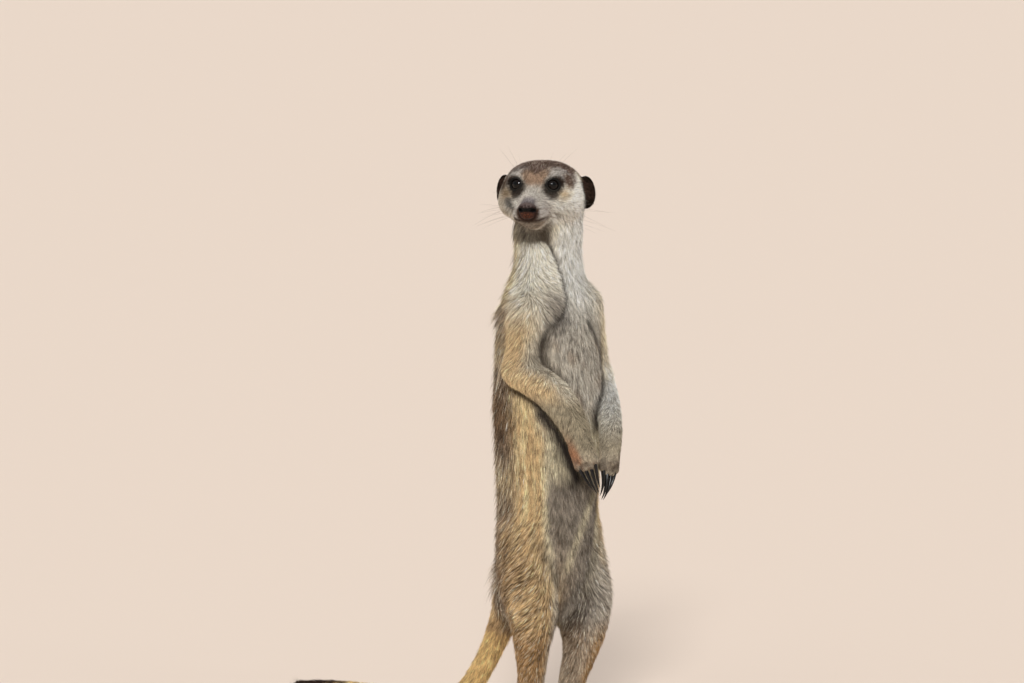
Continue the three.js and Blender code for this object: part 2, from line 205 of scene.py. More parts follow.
# ---------------------------------------------------------------- the animal's measures
# Millimetres in the animal's own frame: it faces -y, its left is +x, the floor is z = 0, and the
# trunk's axis is x = y = 0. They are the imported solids' own driving sizes, at the tips of the coat.
# Trunk and neck: height, centre y, half width, half depth in front, half depth behind
TRUNK = [
    (52, 11, 9, 8, 12), (64, 8, 21, 16, 24), (80, 3, 26.5, 22, 26), (100, 0.5, 27.8, 25.5, 27),
    (125, 0, 28, 26.5, 28), (150, 0, 28.5, 28, 29.5), (175, 0, 29, 29, 31.5), (198, 0, 28.5, 29, 30.5),
    (216, 0, 27.5, 27.5, 29.5), (232, 0, 25.2, 23.5, 27), (246, 0, 20.4, 19.8, 21.6),
    (258, 0, 18.4, 18.2, 18.6), (270, 0, 19.2, 19, 20.2), (286, -1, 17.8, 17, 17.6),
]
TRUNK_HEIGHTS, TRUNK_ROWS = between([r[1:] for r in TRUNK], [r[0] for r in TRUNK], 235)

HEAD_AT = row(-5.5, -1.5, 290.5)
HEAD_TURN = turned(0, 0, -51)
EYE_AT, EYE_RADIUS = row(8.6, -18.2, 7.5), 4.4
GAZE = (0.45, -0.885, 0.1)
LID_OPENING = (3.15, 2.75)  # half width and half height of what shows of the eye
EAR_TURN = (0, -4, 32)
EAR_BOWL = ((23.4, 7.2, 1.2), (4, 2.4, 7.2))
NOSE_PAD = ((0, -42.2, -3.2), (5, 3.4, 3.4))
NOSE_LIP = ((0, -41.2, -6), (4.4, 3, 3.3))
NOSTRIL = ((1.9, -46.6, -3.7, 0.85), (3.9, -42.6, -3.9, 0.85))
NOSTRIL_SLIT = ((2.6, -45.6, -3.9, 0.75), (5.8, -43, -4.6, 0.5))

SIDES = {"right": -1, "left": 1}  # and the way along x that is outward there

# Arms and legs: stations of x, y, z and radius. An arm's back is the way that the hand's back faces.
ARMS = {
    "right": {
        "upper": [(-18.5, -6, 227, 11.5), (-25, -9.5, 211, 10), (-28.6, -12, 198, 8.8)],
        "lower": [(-28.6, -12, 198, 8.8), (-19.8, -27.6, 186, 9), (-13.6, -38, 169, 7.2),
                  (-10.8, -43, 153, 5.4)],
        "back": (-0.8, -0.6, 0),
    },
    "left": {
        "upper": [(18.8, -6.2, 229.5, 11.8), (23.8, -5.6, 208, 10), (28.9, -5.8, 190, 8.6)],
        "lower": [(28.9, -5.8, 190, 8.6), (22.5, -22, 177, 7), (11.7, -38.8, 163, 6),
                  (7.7, -42.2, 149, 5.3)],
        "back": (0.1, -0.99, 0),
    },
}
FINGERS = {"lengths": (4.5, 6.5, 6.5, 5), "pitch": 3, "splay": 1.1, "radius": 2.4, "root": 5}
HAND_BREADTH = 1.08
HAND_CLAW = {"length": 17.5, "radius": 1.3, "curl": 42, "lift": 0.25, "draw": 0.045}

LEGS = {
    "right": {
        "stations": [(-16.4, -1, 104, 15), (-17.4, -4, 86, 15.8), (-18.5, -9, 68, 13.9),
                     (-18.5, -9.5, 57, 11.8), (-18.5, -8.6, 46, 9.7), (-18.3, -8.2, 34.5, 8),
                     (-18, -6.6, 25, 6.9), (-18, -3.5, 13, 6.5)],
        "toe_out": -4,
    },
    "left": {
        "stations": [(16.4, -2, 104, 15), (18.2, -4.5, 88, 16), (20.5, -6.7, 73, 15.2),
                     (20.5, -5.8, 57, 13.6), (19.5, -6, 47, 11.2), (18.5, -4.4, 37.5, 9.2),
                     (17.5, -0.4, 25.5, 7.4), (17, 2, 13, 6.6)],
        "toe_out": 6,
    },
}
FOOT = {"heel_back": 5.5, "heel": 6, "ball": 29, "ball_radius": 4.9, "breadth": 1.32, "sole": -0.5}
TOES = {"lengths": (11, 14, 14, 11.5), "pitch": 3.9, "splay": 1.25, "radius": 2.9, "root": 7}
FOOT_CLAW = {"length": 8, "radius": 1.2, "curl": 26, "height": 3.8}

# Tail: stations of x, y, z and radius
TAIL = [
    (0, 21, 80, 12), (0, 29, 68, 10.5), (0, 34, 59, 8.8), (-1, 38.5, 50.5, 7.4), (-1.5, 44.5, 40, 6.6),
    (-2, 51, 30, 6.3), (-3, 58, 20, 6.2), (-4, 68, 11.2, 6), (-6, 84, 6.2, 5.9), (-9, 104, 5.3, 5.7),
    (-13, 140, 5, 5.4), (-16, 170, 4.4, 4.8), (-17, 194, 3.2, 3.6),
]


# ---------------------------------------------------------------- the body as fields
def to_head(p):
    return (p - HEAD_AT) @ HEAD_TURN


def from_head(q):
    return q @ HEAD_TURN.T + HEAD_AT


def on_left(q):
    """Points of the head, with those of its right side mirrored onto the left."""
    m = q.copy()
    m[:, 0] = np.abs(m[:, 0])
    return m


def face_places(q):
    """Places on the head: out from its middle plane on either side, back, and up."""
    return np.abs(q[:, 0]), q[:, 1], q[:, 2]


def both_sides(q, softness=4):
    """Points of the head, mirrored onto its left side with no crease down the middle."""
    m = q.copy()
    m[:, 0] = np.sqrt(m[:, 0] ** 2 + softness)
    return m


def trunk_row(z):
    """The trunk's centre y, half width and half depths in front and behind, at heights."""
    return (np.interp(z, TRUNK_HEIGHTS, TRUNK_ROWS[:, i]) for i in range(4))


def trunk_field(p):
    centre, width, front, behind = trunk_row(p[:, 2])
    y = p[:, 1] - centre
    depth = np.where(y < 0, front, behind)
    d = oval_distance(np.hypot(p[:, 0] / width, y / depth), np.hypot(p[:, 0] / width**2, y / depth**2),
                      np.minimum(width, depth))
    d = smooth_max(d, TRUNK[0][0] - p[:, 2], 8)
    return smooth_max(d, p[:, 2] - TRUNK[-1][0], 6)


def skull_field(q):
    m = both_sides(q)
    d = egg(q, (0, 3, 2.5), (21.7, 22, 16.5))
    d = smooth_min(d, egg(m, (7.5, -11.5, 5.5), (11, 11.5, 9.6)), 7)  # brow
    d = smooth_min(d, egg(m, (6.8, 1, 8), (11.5, 16, 9.5)), 3)  # temple
    d = smooth_min(d, egg(m, (12.6, -6, -3.4), (10.2, 13, 9.4)), 6)  # cheek
    d = smooth_min(d, cone(q, (0, -18, -1, 9.6), (0, -37, -4, 5.8)), 6)  # muzzle
    d = smooth_min(d, egg(m, (4.8, -32.5, -7.2), (5.1, 9, 4.8)), 3.5)  # whisker pad
    d = smooth_min(d, cone(q, (0, -4, -9, 10.5), (0, -31, -10.4, 4.9)), 4)  # lower jaw
    return smooth_max(d, -egg(m, (11.6, -27.2, 6.8), (7.2, 8, 5.6)), 4)  # hollow before the eye


def ear_field(q):
    """A low, round ear: a shell with a bowl in it, a folded rim and the ridge that closes it."""
    m = on_left(q)
    shell = egg(m, (22.2, 9.6, 1.2), (5.6, 3.2, 9.1), EAR_TURN)
    bowl = egg(m, *EAR_BOWL, EAR_TURN)
    ridge = egg(m, (22.3, 7.8, 0.2), (2.2, 1.1, 3.4), EAR_TURN)
    return smooth_min(smooth_max(shell, -bowl, 1), ridge, 0.8)


def nose_distance(q):
    return np.minimum(egg(q, *NOSE_PAD), egg(q, *NOSE_LIP))


def hand_frame(side):
    """The knuckles' middle, and the ways down the hand, across it and out of its back."""
    arm = ARMS[side]
    wrist, knuckle = row(*arm["lower"][-2])[:3], row(*arm["lower"][-1])[:3]
    down = unit(knuckle - wrist)
    across = unit(np.cross(down, row(*arm["back"])))
    return knuckle, down, across, np.cross(across, down)


def finger_ends(side):
    """Root and tip of each finger, and how far out from the middle it is."""
    knuckle, down, across, _ = hand_frame(side)
    for i, length in enumerate(FINGERS["lengths"]):
        out = (i - 1.5) * FINGERS["pitch"]
        root = knuckle + across * out - down * FINGERS["root"]
        yield root, knuckle + across * out * FINGERS["splay"] + down * length, out


def foot_frame(side):
    """The point below the ankle, and the ways forward and across."""
    x, y = LEGS[side]["stations"][-1][:2]
    turn = math.radians(LEGS[side]["toe_out"])
    return row(x, y, 0), row(math.sin(turn), -math.cos(turn), 0), row(math.cos(turn), math.sin(turn), 0)


def toe_ends(side):
    """Root and tip of each toe."""
    ankle, forward, across = foot_frame(side)
    for i, length in enumerate(TOES["lengths"]):
        out = (i - 1.5) * TOES["pitch"]
        root = ankle + forward * (FOOT["ball"] - TOES["root"]) + across * out
        tip = ankle + forward * (FOOT["ball"] + length) + across * out * TOES["splay"]
        root[2], tip[2] = TOES["radius"] + 1.2, TOES["radius"] + FOOT["sole"]
        yield root, tip


def broad(p, origin, across, breadth):
    """Points drawn in towards a middle plane, so that a form drawn from them comes out broader."""
    out = (p - origin) @ across
    return p - np.outer(out * (1 - 1 / breadth), across)


UPPER_ARMS = {side: Limb(arm["upper"], 7) for side, arm in ARMS.items()}
LOWER_ARMS = {side: Limb(arm["lower"], 9) for side, arm in ARMS.items()}
SHAFTS = {side: Limb(leg["stations"], 22) for side, leg in LEGS.items()}
TAIL_CHAIN = Limb(TAIL, 36)


def arm_field(side, p):
    knuckle, _, across, _ = hand_frame(side)
    lower = LOWER_ARMS[side].distance(broad(p, knuckle, across, HAND_BREADTH))
    d = smooth_min(UPPER_ARMS[side].distance(p), lower, 4)
    for root, tip, _ in finger_ends(side):
        d = smooth_min(d, cone(p, (*root, FINGERS["radius"] + 0.2), (*tip, FINGERS["radius"])), 1.1)
    return d


def leg_field(side, p):
    ankle, forward, across = foot_frame(side)
    heel = ankle - forward * FOOT["heel_back"] + row(0, 0, FOOT["heel"] + FOOT["sole"])
    ball = ankle + forward * FOOT["ball"] + row(0, 0, FOOT["ball_radius"] + FOOT["sole"])
    d = SHAFTS[side].distance(p)
    sole = cone(broad(p, ankle, across, FOOT["breadth"]), (*heel, FOOT["heel"]), (*ball, FOOT["ball_radius"]))
    d = smooth_min(d, cone(p, LEGS[side]["stations"][-1], (*(heel + forward * 4), 6)), 3)
    d = smooth_min(d, sole, 4)
    for root, tip in toe_ends(side):
        d = smooth_min(d, cone(p, (*root, TOES["radius"] + 0.4), (*tip, TOES["radius"])), 1.2)
    return d


FAR = 60.0  # the distance given to what is out of reach
# How wide the rounded crease is where each part meets the trunk. An arm's is widest at its shoulder.
CREASES = {"head": 8, "ear": 2, "leg": 7, "tail": 9, "arm": 0.8, "shoulder": 11}
SHOULDER_SIZE = 19


class Place:
    """Points, with their distance from each part of the animal at the tips of its coat."""

    def __init__(self, p):
        self.p = p
        self.q = to_head(p)
        # each part is worked out only in the box that holds it
        self.trunk = trunk_field(p)
        self.head = self.near(self.q, (-30, -48, -26), (30, 28, 24), skull_field)
        self.ear = self.near(self.q, (-30, -6, -14), (30, 16, 14), ear_field, 6)
        self.arm = {}
        self.leg = {}
        for side, outward in SIDES.items():
            low, high = sorted((outward * -4, outward * 42))
            self.arm[side] = self.near(p, (low, -58, 128), (high, 10, 242), partial(arm_field, side))
            low, high = sorted((0, outward * 36))
            self.leg[side] = self.near(p, (low, -54, -4), (high, 20, 122), partial(leg_field, side))
        self.tail = self.near(p, TAIL_CHAIN.low, TAIL_CHAIN.high, TAIL_CHAIN.distance)

    @staticmethod
    def near(p, low, high, field, margin=16):
        """The field at points in a box and its margin, and FAR at the others."""
        d = np.full(len(p), FAR)
        close = np.all((p > row(*low) - margin) & (p < row(*high) + margin), axis=1)
        if close.any():
            d[close] = field(p[close])
        return d

    def coat_tips(self):
        """The distance from the whole animal, at the tips of its coat."""
        d = smooth_min(self.trunk, self.head, CREASES["head"])
        d = smooth_min(d, self.ear, CREASES["ear"])
        for side in SIDES:
            near = blob(self.from_shoulder(side), SHOULDER_SIZE)
            d = smooth_min(d, self.arm[side], CREASES["arm"] + CREASES["shoulder"] * near)
            d = smooth_min(d, self.leg[side], CREASES["leg"])
        return smooth_min(d, self.tail, CREASES["tail"])

    def from_shoulder(self, side):
        return np.linalg.norm(self.p - row(*ARMS[side]["upper"][0])[:3], axis=1)

    def creases(self):
        """From 0 to 1: the lines where arms and legs meet the trunk."""
        line = np.zeros(len(self.p))
        for side in SIDES:
            arm = blob(self.arm[side] - self.trunk, 2.4) * ramp(self.from_shoulder(side), 16, 30)
            leg = blob(self.leg[side] - self.trunk, 2.4) * ramp(self.facing(), -0.5, -0.8)
            line = np.maximum(line, np.maximum(arm, 0.7 * leg * ramp(self.p[:, 2], 60, 75)))
        return line * ramp(self.trunk, 3, 1)

    def turn(self):
        """Degrees round the trunk from its front, on either side."""
        centre = next(trunk_row(self.p[:, 2]))
        return np.degrees(np.arctan2(np.abs(self.p[:, 0]), centre - self.p[:, 1]))

    def shares(self):
        """How far each part owns a point: shares of 1, by nearness."""
        reach = 3.0  # how wide a band two parts share, in millimetres
        near = {"trunk": self.trunk, "head": self.head, "ear": self.ear, "tail": self.tail}
        for side in SIDES:
            near["arm_" + side] = self.arm[side]
            near["leg_" + side] = self.leg[side]
        weights = {name: np.exp(-np.clip(d, -2, 40) / reach) for name, d in near.items()}
        weights["ear"] *= 2
        total = sum(weights.values())
        return {name: w / total for name, w in weights.items()}

    def facing(self):
        """-1 at the animal's front, 1 at its back, by place in the trunk's section."""
        centre, _, front, behind = trunk_row(self.p[:, 2])
        y = self.p[:, 1] - centre
        return np.clip(y / np.where(y < 0, front, behind), -1.1, 1.1)

    def coat_depth(self, share):
        """How far the skin lies inside the tips of the coat."""
        y, height = self.q[:, 1], self.p[:, 2]
        back = ramp(self.facing(), -0.5, 0.7)
        *_, from_eye = eye_parts(self.q)
        return by_part(
            share,
            trunk=2.6 + 2.2 * back + 0.4 * ramp(height, 230, 262) * (1 - back),
            head=(0.8 + 0.5 * ramp(y, -33, -22) + 1.3 * ramp(y, -14, 4)) * (1 - 0.6 * blob(from_eye, 9)),
            ear=0.35,
            tail=1.9,
            arm=0.7 + 0.8 * ramp(height, 152, 170) + 1.4 * ramp(height, 182, 215),
            leg=0.7 + 1 * ramp(height, 12, 34) + 1.9 * ramp(height, 48, 84),
        )


def by_part(share, arm=0, leg=0, **parts):
    """One value for each point, from a value for each part of the animal and the part's share."""
    total = sum(share[name] * value for name, value in parts.items())
    for side in SIDES:
        total = total + share["arm_" + side] * arm + share["leg_" + side] * leg
    return total


def eye_parts(q):
    """Points about the nearer eye: out along its gaze, across it, and up it, and the distance from it."""
    gaze = unit(row(*GAZE))
    across = unit(np.cross(row(0, 0, 1), gaze))
    up = np.cross(gaze, across)
    d = on_left(q) - EYE_AT
    return d @ gaze, d @ across, d @ up, np.linalg.norm(d, axis=1)


# Lines on the animal's front, as places across and up: the fold of skin from the throat down to the
# armpit, whose dark line is painted shade, the pale ridges of hair on the groin and down each thigh, and
# the lines of painted shade and shadow under and beside the arms
FOLD = [(-15.4, 272), (-11.2, 268), (-7.4, 260), (-5.2, 251), (-4.5, 242), (-5.2, 233), (-8.6, 228),
        (-16.8, 221), (-21.4, 210)]
GROIN = [(12, 129), (5.4, 118), (1, 109), (-2.9, 98), (-4.4, 90)]
THIGH_RIDGES = {
    "right": [(-11.3, 148), (-16.6, 134), (-16.7, 121), (-13.7, 97), (-10.7, 80), (-13.2, 60)],
    "left": [(11, 115), (18.2, 100), (23.4, 92)],
}
UNDER_ARM = [(-21.5, 175), (-14.8, 165.4), (-9.4, 154.4), (-5.7, 146), (-2.2, 139)]
ARMPIT = [(-9, 225), (-17, 219), (-23, 211), (-26, 204)]
ARM_CREASE = [(7.7, 223.7), (11.9, 216.9), (15.8, 210.6), (18.8, 205.3), (20.5, 198)]
SHOULDER_TUFT = (-19.5, 17.5, 230)  # the middle of the hair that stands off behind the right shoulder


def skin_field(p):
    """The skin: the coat's tips drawn in by its depth, with lids, lips and folds."""
    place = Place(p)
    d = place.coat_tips() + place.coat_depth(place.shares())
    d = d + 1.2 * blob(line_distance(p, FOLD), 1.8) * ramp(place.head, 1, 5)
    d = smooth_max(d, 0.1 - p[:, 2], 0.6)  # soles and tail flat on the floor
    q = place.q
    near = (place.head < 6) & (q[:, 1] < 0)
    if near.any():
        d[near] = with_face(d[near], q[near])
    return d


def line_distance(p, line):
    """How far points of the animal's front are from a line there, across and up."""
    d = np.full(len(p), FAR)
    near = p[:, 1] < -8
    flat = p[near] * row(1, 0, 1)
    for a, b in zip(line[:-1], line[1:]):
        d[near] = np.minimum(d[near], cone(flat, (a[0], 0, a[1], 0), (b[0], 0, b[1], 0)))
    return d


def lid_opening(across, up):
    """Below 0 where the eye shows, above 0 on the lids."""
    return np.hypot(across / LID_OPENING[0], (up + 0.12 * across) / LID_OPENING[1]) - 1


def mouth_line(x, y):
    """The height of the line between the lips."""
    return -10.2 + 0.02 * np.minimum(x, 9) ** 2 - 0.02 * np.maximum(y + 34, 0) ** 1.5


def with_face(d, q):
    """A field of the head with the lids, the openings of the eyes and the lips worked into it."""
    out, across, up, far = eye_parts(q)
    opening = lid_opening(across, up)
    in_front = out > 0
    lids = np.where(in_front, far - (EYE_RADIUS + 0.75), FAR)
    d = smooth_min(d, lids, 3.6)
    pit = np.maximum(opening * LID_OPENING[1], EYE_RADIUS - 0.8 - far)
    d = smooth_max(d, -np.where(in_front, pit, FAR), 0.35)
    crease = np.abs(far - (EYE_RADIUS + 1.9)) - 0.25  # the fold round the lids
    d = d + 0.22 * blob(crease, 0.5) * ramp(out, 0, 2)
    x, y, z = face_places(q)
    mouth = blob(z - mouth_line(x, y), 0.42) * ramp(y, -17, -22)
    philtrum = blob(x, 0.4) * ramp(y, -39, -40.5) * ramp(z, -6.5, -7.5) * ramp(z, -10.6, -9.6)
    return d + 0.55 * mouth + 0.35 * philtrum


# ---------------------------------------------------------------- surfaces
BLOCK = 6  # cells along one side of the blocks that are tried first
OUT_OF_REACH = 12.0


def spaced(*stretches):
    """Places along an axis, from stretches of start, end and step, in whole blocks."""
    places = np.concatenate([np.arange(*stretch) for stretch in stretches])
    short = -len(places) % BLOCK
    return np.append(places, places[-1] + stretches[-1][2] * np.arange(1, short + 1))


class Levels:
    """A field kept on a grid, worked out only in the blocks that its zero may cross."""

    def __init__(self, field, axes):
        self.axes = axes
        blocks = [len(axis) // BLOCK for axis in axes]
        at = np.argwhere(np.ones(blocks, bool))
        low = np.stack([axis[at[:, k] * BLOCK] for k, axis in enumerate(axes)], 1)
        high = np.stack([axis[at[:, k] * BLOCK + BLOCK - 1] for k, axis in enumerate(axes)], 1)
        d = field((low + high) / 2)
        far = (np.sign(d) * OUT_OF_REACH).reshape(blocks).astype(np.float32)
        self.value = np.repeat(np.repeat(np.repeat(far, BLOCK, 0), BLOCK, 1), BLOCK, 2)
        close = at[np.abs(d) < (high - low).max(1) * 1.4 + 2]
        inner = np.argwhere(np.ones([BLOCK] * 3, bool))
        cells = (close[:, None] * BLOCK + inner[None]).reshape(-1, 3)
        self.value[tuple(cells.T)] = field(np.stack([axis[cells[:, k]] for k, axis in enumerate(axes)], 1))
        self.value[self.value == 0] = 1e-6  # so that each cell corner is inside or outside

    def places(self, cells):
        """The points at fractional cells."""
        return np.stack([np.interp(cells[:, k], np.arange(len(axis)), axis)
                         for k, axis in enumerate(self.axes)], 1)

    def __call__(self, p):
        """The field at any points, read between the grid's values."""
        cell, part = [], []
        for k, axis in enumerate(self.axes):
            i = np.clip(np.searchsorted(axis, p[:, k]) - 1, 0, len(axis) - 2)
            cell.append(i)
            part.append(np.clip((p[:, k] - axis[i]) / (axis[i + 1] - axis[i]), 0, 1))
        total = np.zeros(len(p))
        for corner in range(8):
            step = [corner >> k & 1 for k in range(3)]
            weight = np.prod([part[k] if step[k] else 1 - part[k] for k in range(3)], axis=0)
            total += weight * self.value[tuple(cell[k] + step[k] for k in range(3))]
        return total


def surface(levels):
    """Vertices and quads of the closed surface where a field is zero, one vertex in each crossed cell."""
    value = levels.value
    inside = value < 0
    n = np.array(value.shape) - 1
    corners = [tuple(slice(c >> a & 1, (c >> a & 1) + n[a]) for a in range(3)) for c in range(8)]
    some, every = np.zeros(n, bool), np.ones(n, bool)
    for c in corners:
        some |= inside[c]
        every &= inside[c]
    crossed = some & ~every
    cells = np.argwhere(crossed)
    index = np.full(crossed.shape, -1)
    index[crossed] = np.arange(len(cells))
    total, hits = np.zeros((len(cells), 3)), np.zeros(len(cells))
    for axis in range(3):
        for c in range(8):
            if c >> axis & 1:
                continue
            start = np.array([c >> a & 1 for a in range(3)])
            step = np.eye(3, dtype=int)[axis]
            a = value[tuple((cells + start).T)]
            b = value[tuple((cells + start + step).T)]
            crosses = (a < 0) != (b < 0)
            t = a[crosses] / (a[crosses] - b[crosses])
            total[crosses] += start + t[:, None] * step
            hits += crosses
    points = levels.places(cells + total / hits[:, None])
    quads = []
    for axis in range(3):
        u, v = np.eye(3, dtype=int)[(axis + 1) % 3], np.eye(3, dtype=int)[(axis + 2) % 3]
        here = inside[tuple(slice(0, n[a]) for a in range(3))]
        ahead = inside[tuple(slice(int(a == axis), n[a] + int(a == axis)) for a in range(3))]
        at = np.argwhere(here != ahead)
        at = at[np.all(at - u - v >= 0, axis=1)]
        ring = np.stack([index[tuple((at - s).T)] for s in (u + v, v, 0 * u, u)], 1)
        outward = here[tuple(at.T)]
        quads.append(np.where(outward[:, None], ring, ring[:, ::-1]))
    return points, np.concatenate(quads)


def gradient(field, p, e=0.15):
    """The way a field rises fastest, and how fast."""
    return np.stack([field(p + step) - field(p - step) for step in np.eye(3) * e], 1) / (2 * e)


def settle(field, p, most, turns=2):
    """Moves points onto the field's zero, by no more than most each turn."""
    for _ in range(turns):
        d, g = field(p), gradient(field, p)
        move = np.clip(d / np.maximum((g * g).sum(1), 0.2), -most, most)
        p = p - move[:, None] * g
    return p


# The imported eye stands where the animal's own frame puts it, and so ties the two frames together.
packed_eye = sum(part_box("eye_left"), type(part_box("eye_left")[0])()) / 2
OFFSET = np.array(packed_eye) * 1000 - from_head(EYE_AT[None])[0]


def to_frame(points):
    """Places in millimetres in the animal's own frame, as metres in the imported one."""
    return (np.asarray(points) + OFFSET) / 1000


def add_mesh(name, points, faces):
    """A smooth mesh object from points in millimetres in the animal's own frame."""
    mesh = bpy.data.meshes.new(name)
    faces = np.asarray(faces)
    mesh.vertices.add(len(points))
    mesh.vertices.foreach_set("co", to_frame(points).astype(np.float32).ravel())
    mesh.loops.add(faces.size)
    mesh.loops.foreach_set("vertex_index", faces.astype(np.int32).ravel())
    mesh.polygons.add(len(faces))
    sides = faces.shape[1]
    mesh.polygons.foreach_set("loop_start", np.arange(0, faces.size, sides, dtype=np.int32))
    mesh.polygons.foreach_set("loop_total", np.full(len(faces), sides, np.int32))
    mesh.polygons.foreach_set("use_smooth", np.ones(len(faces), bool))
    mesh.update(calc_edges=True)
    piece = bpy.data.objects.new(name, mesh)
    bpy.context.scene.collection.objects.link(piece)
    return piece


def set_colour(mesh, name, colours):
    """Writes a linear colour for each vertex."""
    made = mesh.color_attributes.new(name, "FLOAT_COLOR", "POINT")
    full = np.ones((len(mesh.vertices), 4), np.float32)
    full[:, :3] = colours
    made.data.foreach_set("color", full.ravel())


def mesh_points(mesh):
    """A mesh's vertices in millimetres in the animal's own frame."""
    co = np.empty(len(mesh.vertices) * 3, np.float32)
    mesh.vertices.foreach_get("co", co)
    return co.reshape(-1, 3).astype(float) * 1000 - OFFSET


# Fine steps where the head and the feet are, coarser ones along the trunk and the tail
SKIN_AXES = [
    spaced((-46, 46, 0.8)),
    spaced((-60, 40, 0.8), (40, 204, 1.3)),
    spaced((-2.6, 15, 0.8), (15, 264, 1.1), (264, 313, 0.7)),
]


def refine(mesh, chosen):
    """Halves the edges whose two ends are chosen, by their points."""
    form = bmesh.new()
    form.from_mesh(mesh)
    form.verts.ensure_lookup_table()
    pick = chosen(mesh_points(mesh))
    edges = [e for e in form.edges if pick[e.verts[0].index] and pick[e.verts[1].index]]
    bmesh.ops.subdivide_edges(form, edges=edges, cuts=1, use_grid_fill=True)
    bmesh.ops.triangulate(form, faces=[f for f in form.faces if len(f.verts) > 4])
    form.to_mesh(mesh)
    form.free()


def by_the_face(p):
    q = to_head(p)
    x, y, z = face_places(q)
    *_, far = eye_parts(q)
    mouth = (y < -22) & (z < -5) & (z > -13)
    ears = (x > 18) & (np.abs(y - 5) < 8) & (np.abs(z) < 10)
    return (far < EYE_RADIUS + 4) | mouth | ears


def by_the_eyes(p):
    q = to_head(p)
    out, _, _, far = eye_parts(q)
    return (far < EYE_RADIUS + 2.2) & (out > 0)


def make_skin():
    """The skin, finer by the face, and the grid of distances that it was drawn from."""
    levels = Levels(skin_field, SKIN_AXES)
    points, quads = surface(levels)
    points = settle(skin_field, points, 0.35)
    skin = add_mesh("skin", points, quads)
    for chosen, most in ((by_the_face, 0.25), (by_the_eyes, 0.12)):
        before = len(skin.data.vertices)
        refine(skin.data, chosen)
        moved = mesh_points(skin.data)
        moved[before:] = settle(skin_field, moved[before:], most)
        skin.data.vertices.foreach_set("co", to_frame(moved).astype(np.float32).ravel())
    skin.data.polygons.foreach_set("use_smooth", np.ones(len(skin.data.polygons), bool))
    skin.data.update()
    return skin, levels


# ---------------------------------------------------------------- looks
HUES = hues(
    # the head: the hues of the right side's cheek, brow, temple and muzzle edge are painted shade, the chin's
    # is partly painted shade, and the one below the chin is a painted shadow
    cream="#eee8da", cheek_right="#bdb3a3", muzzle="#b3aba1", bridge="#b1a99d", nose_top="#7a7270",
    chin="#857868", under_chin="#4e4437", forehead="#947b65", crown="#68564c", nape="#938674",
    brow="#a0988f", brow_right="#68605a", eye_rim="#0c0908", eye_patch="#281b14", eye_corner="#523a2d",
    under_eye="#b79d74", temple="#352a23", temple_low="#6c5b48", muzzle_edge="#434140",
    mouth_corner="#716a60", jaw_left="#a99973", lip="#382b25", whisker_spot="#5d5149",
    nose_side="#46342b", ear="#181109", ear_bowl="#392a22", ear_fringe="#a8977f",
    # the trunk: the fold and armpit hues are painted shade, and the throat's right side is painted light
    throat="#e2ddd1", throat_right="#f0e7d2", armpit="#7b736a", chest="#aea698", belly="#c5b99c",
    thin_belly="#82786b", side="#dfc799", flank="#b7976d", back="#94806b", brown="#7b6147",
    fold="#2f2925", teat="#332a26",
    # the limbs and the tail: the left forearm's pale hue is painted light
    shoulder="#cbbfa9", upper_arm="#c5aa82", elbow="#d0b68e", pale_arm="#eee9dd", forearm="#988c75",
    wrist="#a06f50", hand="#a89b86", claw_root="#52443a", thigh="#c9aa7d", inner_leg="#554c45",
    ash_leg="#a0978a", ridge="#c6b79f", shank="#9b7a53", foot="#bba584", tail_base="#c6a77a",
    tail="#dbb77f", tail_tip="#31251d",
    # single hairs among the others
    dark_hair="#3b2b21", pale_hair="#e3d8c0",
)
# How the two sides differ: how tan the upper arm's outer side is, how much painted light pales the forearm,
# how brown the patch on the thigh, how much the leg has to face inward to be ashen, and how many of its hairs
# are dark
SIDE_LOOKS = {
    "right": {"tan": 1, "pale_arm": 0, "thigh_patch": 0.6, "ash_from": 0.3, "dark_leg": 0.2},
    "left": {"tan": 0.3, "pale_arm": 0.95, "thigh_patch": 0, "ash_from": -0.85, "dark_leg": 0.06},
}
THIN_BELLY = [(83, 24), (94, 30), (108, 37), (123, 40), (133, 42)]  # its edge: height and degrees round
TEATS = [((5.1, 134.7), 1.3), ((10.9, 104), 1.5)]  # place out and up, and size
FRONT_LEFT = row(0.766, -0.643, 0)  # a way across the body, between its left and its front
BAND_PITCH = 15  # how far apart the bands across the back are


def mix(a, b, share):
    """From a to b by each point's share."""
    return a + (b - a) * np.asarray(share)[:, None]


def layered(c, *layers):
    """Lays hues over a colour one after another, each by its share at every point."""
    for hue, share in layers:
        c = mix(c, HUES[hue], share)
    return c


def any_of(*masks):
    """The masks joined, each from 0 to 1, with soft edges kept."""
    left = 1
    for mask in masks:
        left = left * (1 - mask)
    return 1 - left


def oval(a, b, at, size):
    """How far places are from an oval's middle, in its own radii."""
    return np.hypot((a - at[0]) / size[0], (b - at[1]) / size[1])


def spot(a, b, at, size, reach=1):
    """A soft oval mark, 1 at its middle."""
    return blob(oval(a, b, at, size), reach)


def on_right(q):
    """From 0 to 1: how far a place is on the right side of the face, where shade is painted into the hair."""
    return ramp(q[:, 0], -3, -9)


def about_eye(q):
    """Places across and up from the nearer eye, and from 0 to 1 how far they are before its back."""
    out, across, up, _ = eye_parts(q)
    return across, up, ramp(out, -6, -3)


def head_colours(q):
    """A cream face with dark patches round the eyes, a grey muzzle and a grizzled crown, and painted shade on
    its right side.
    """
    grain = 0.35 * noise(q, 3.4, 61) + 0.45 * noise(q, 1.5, 62)  # roughens the edges of the marks
    c = layered(HUES["cream"], *face_ground(q), *crown_and_brow(q, grain), *cheek_marks(q, grain),
                *right_side_marks(q), *eye_patches(q, grain), *nose_and_mouth(q))
    return mix(c, ear_colours(q), ramp(ear_field(q) + 0.3 * grain, 4.4, 3.4))


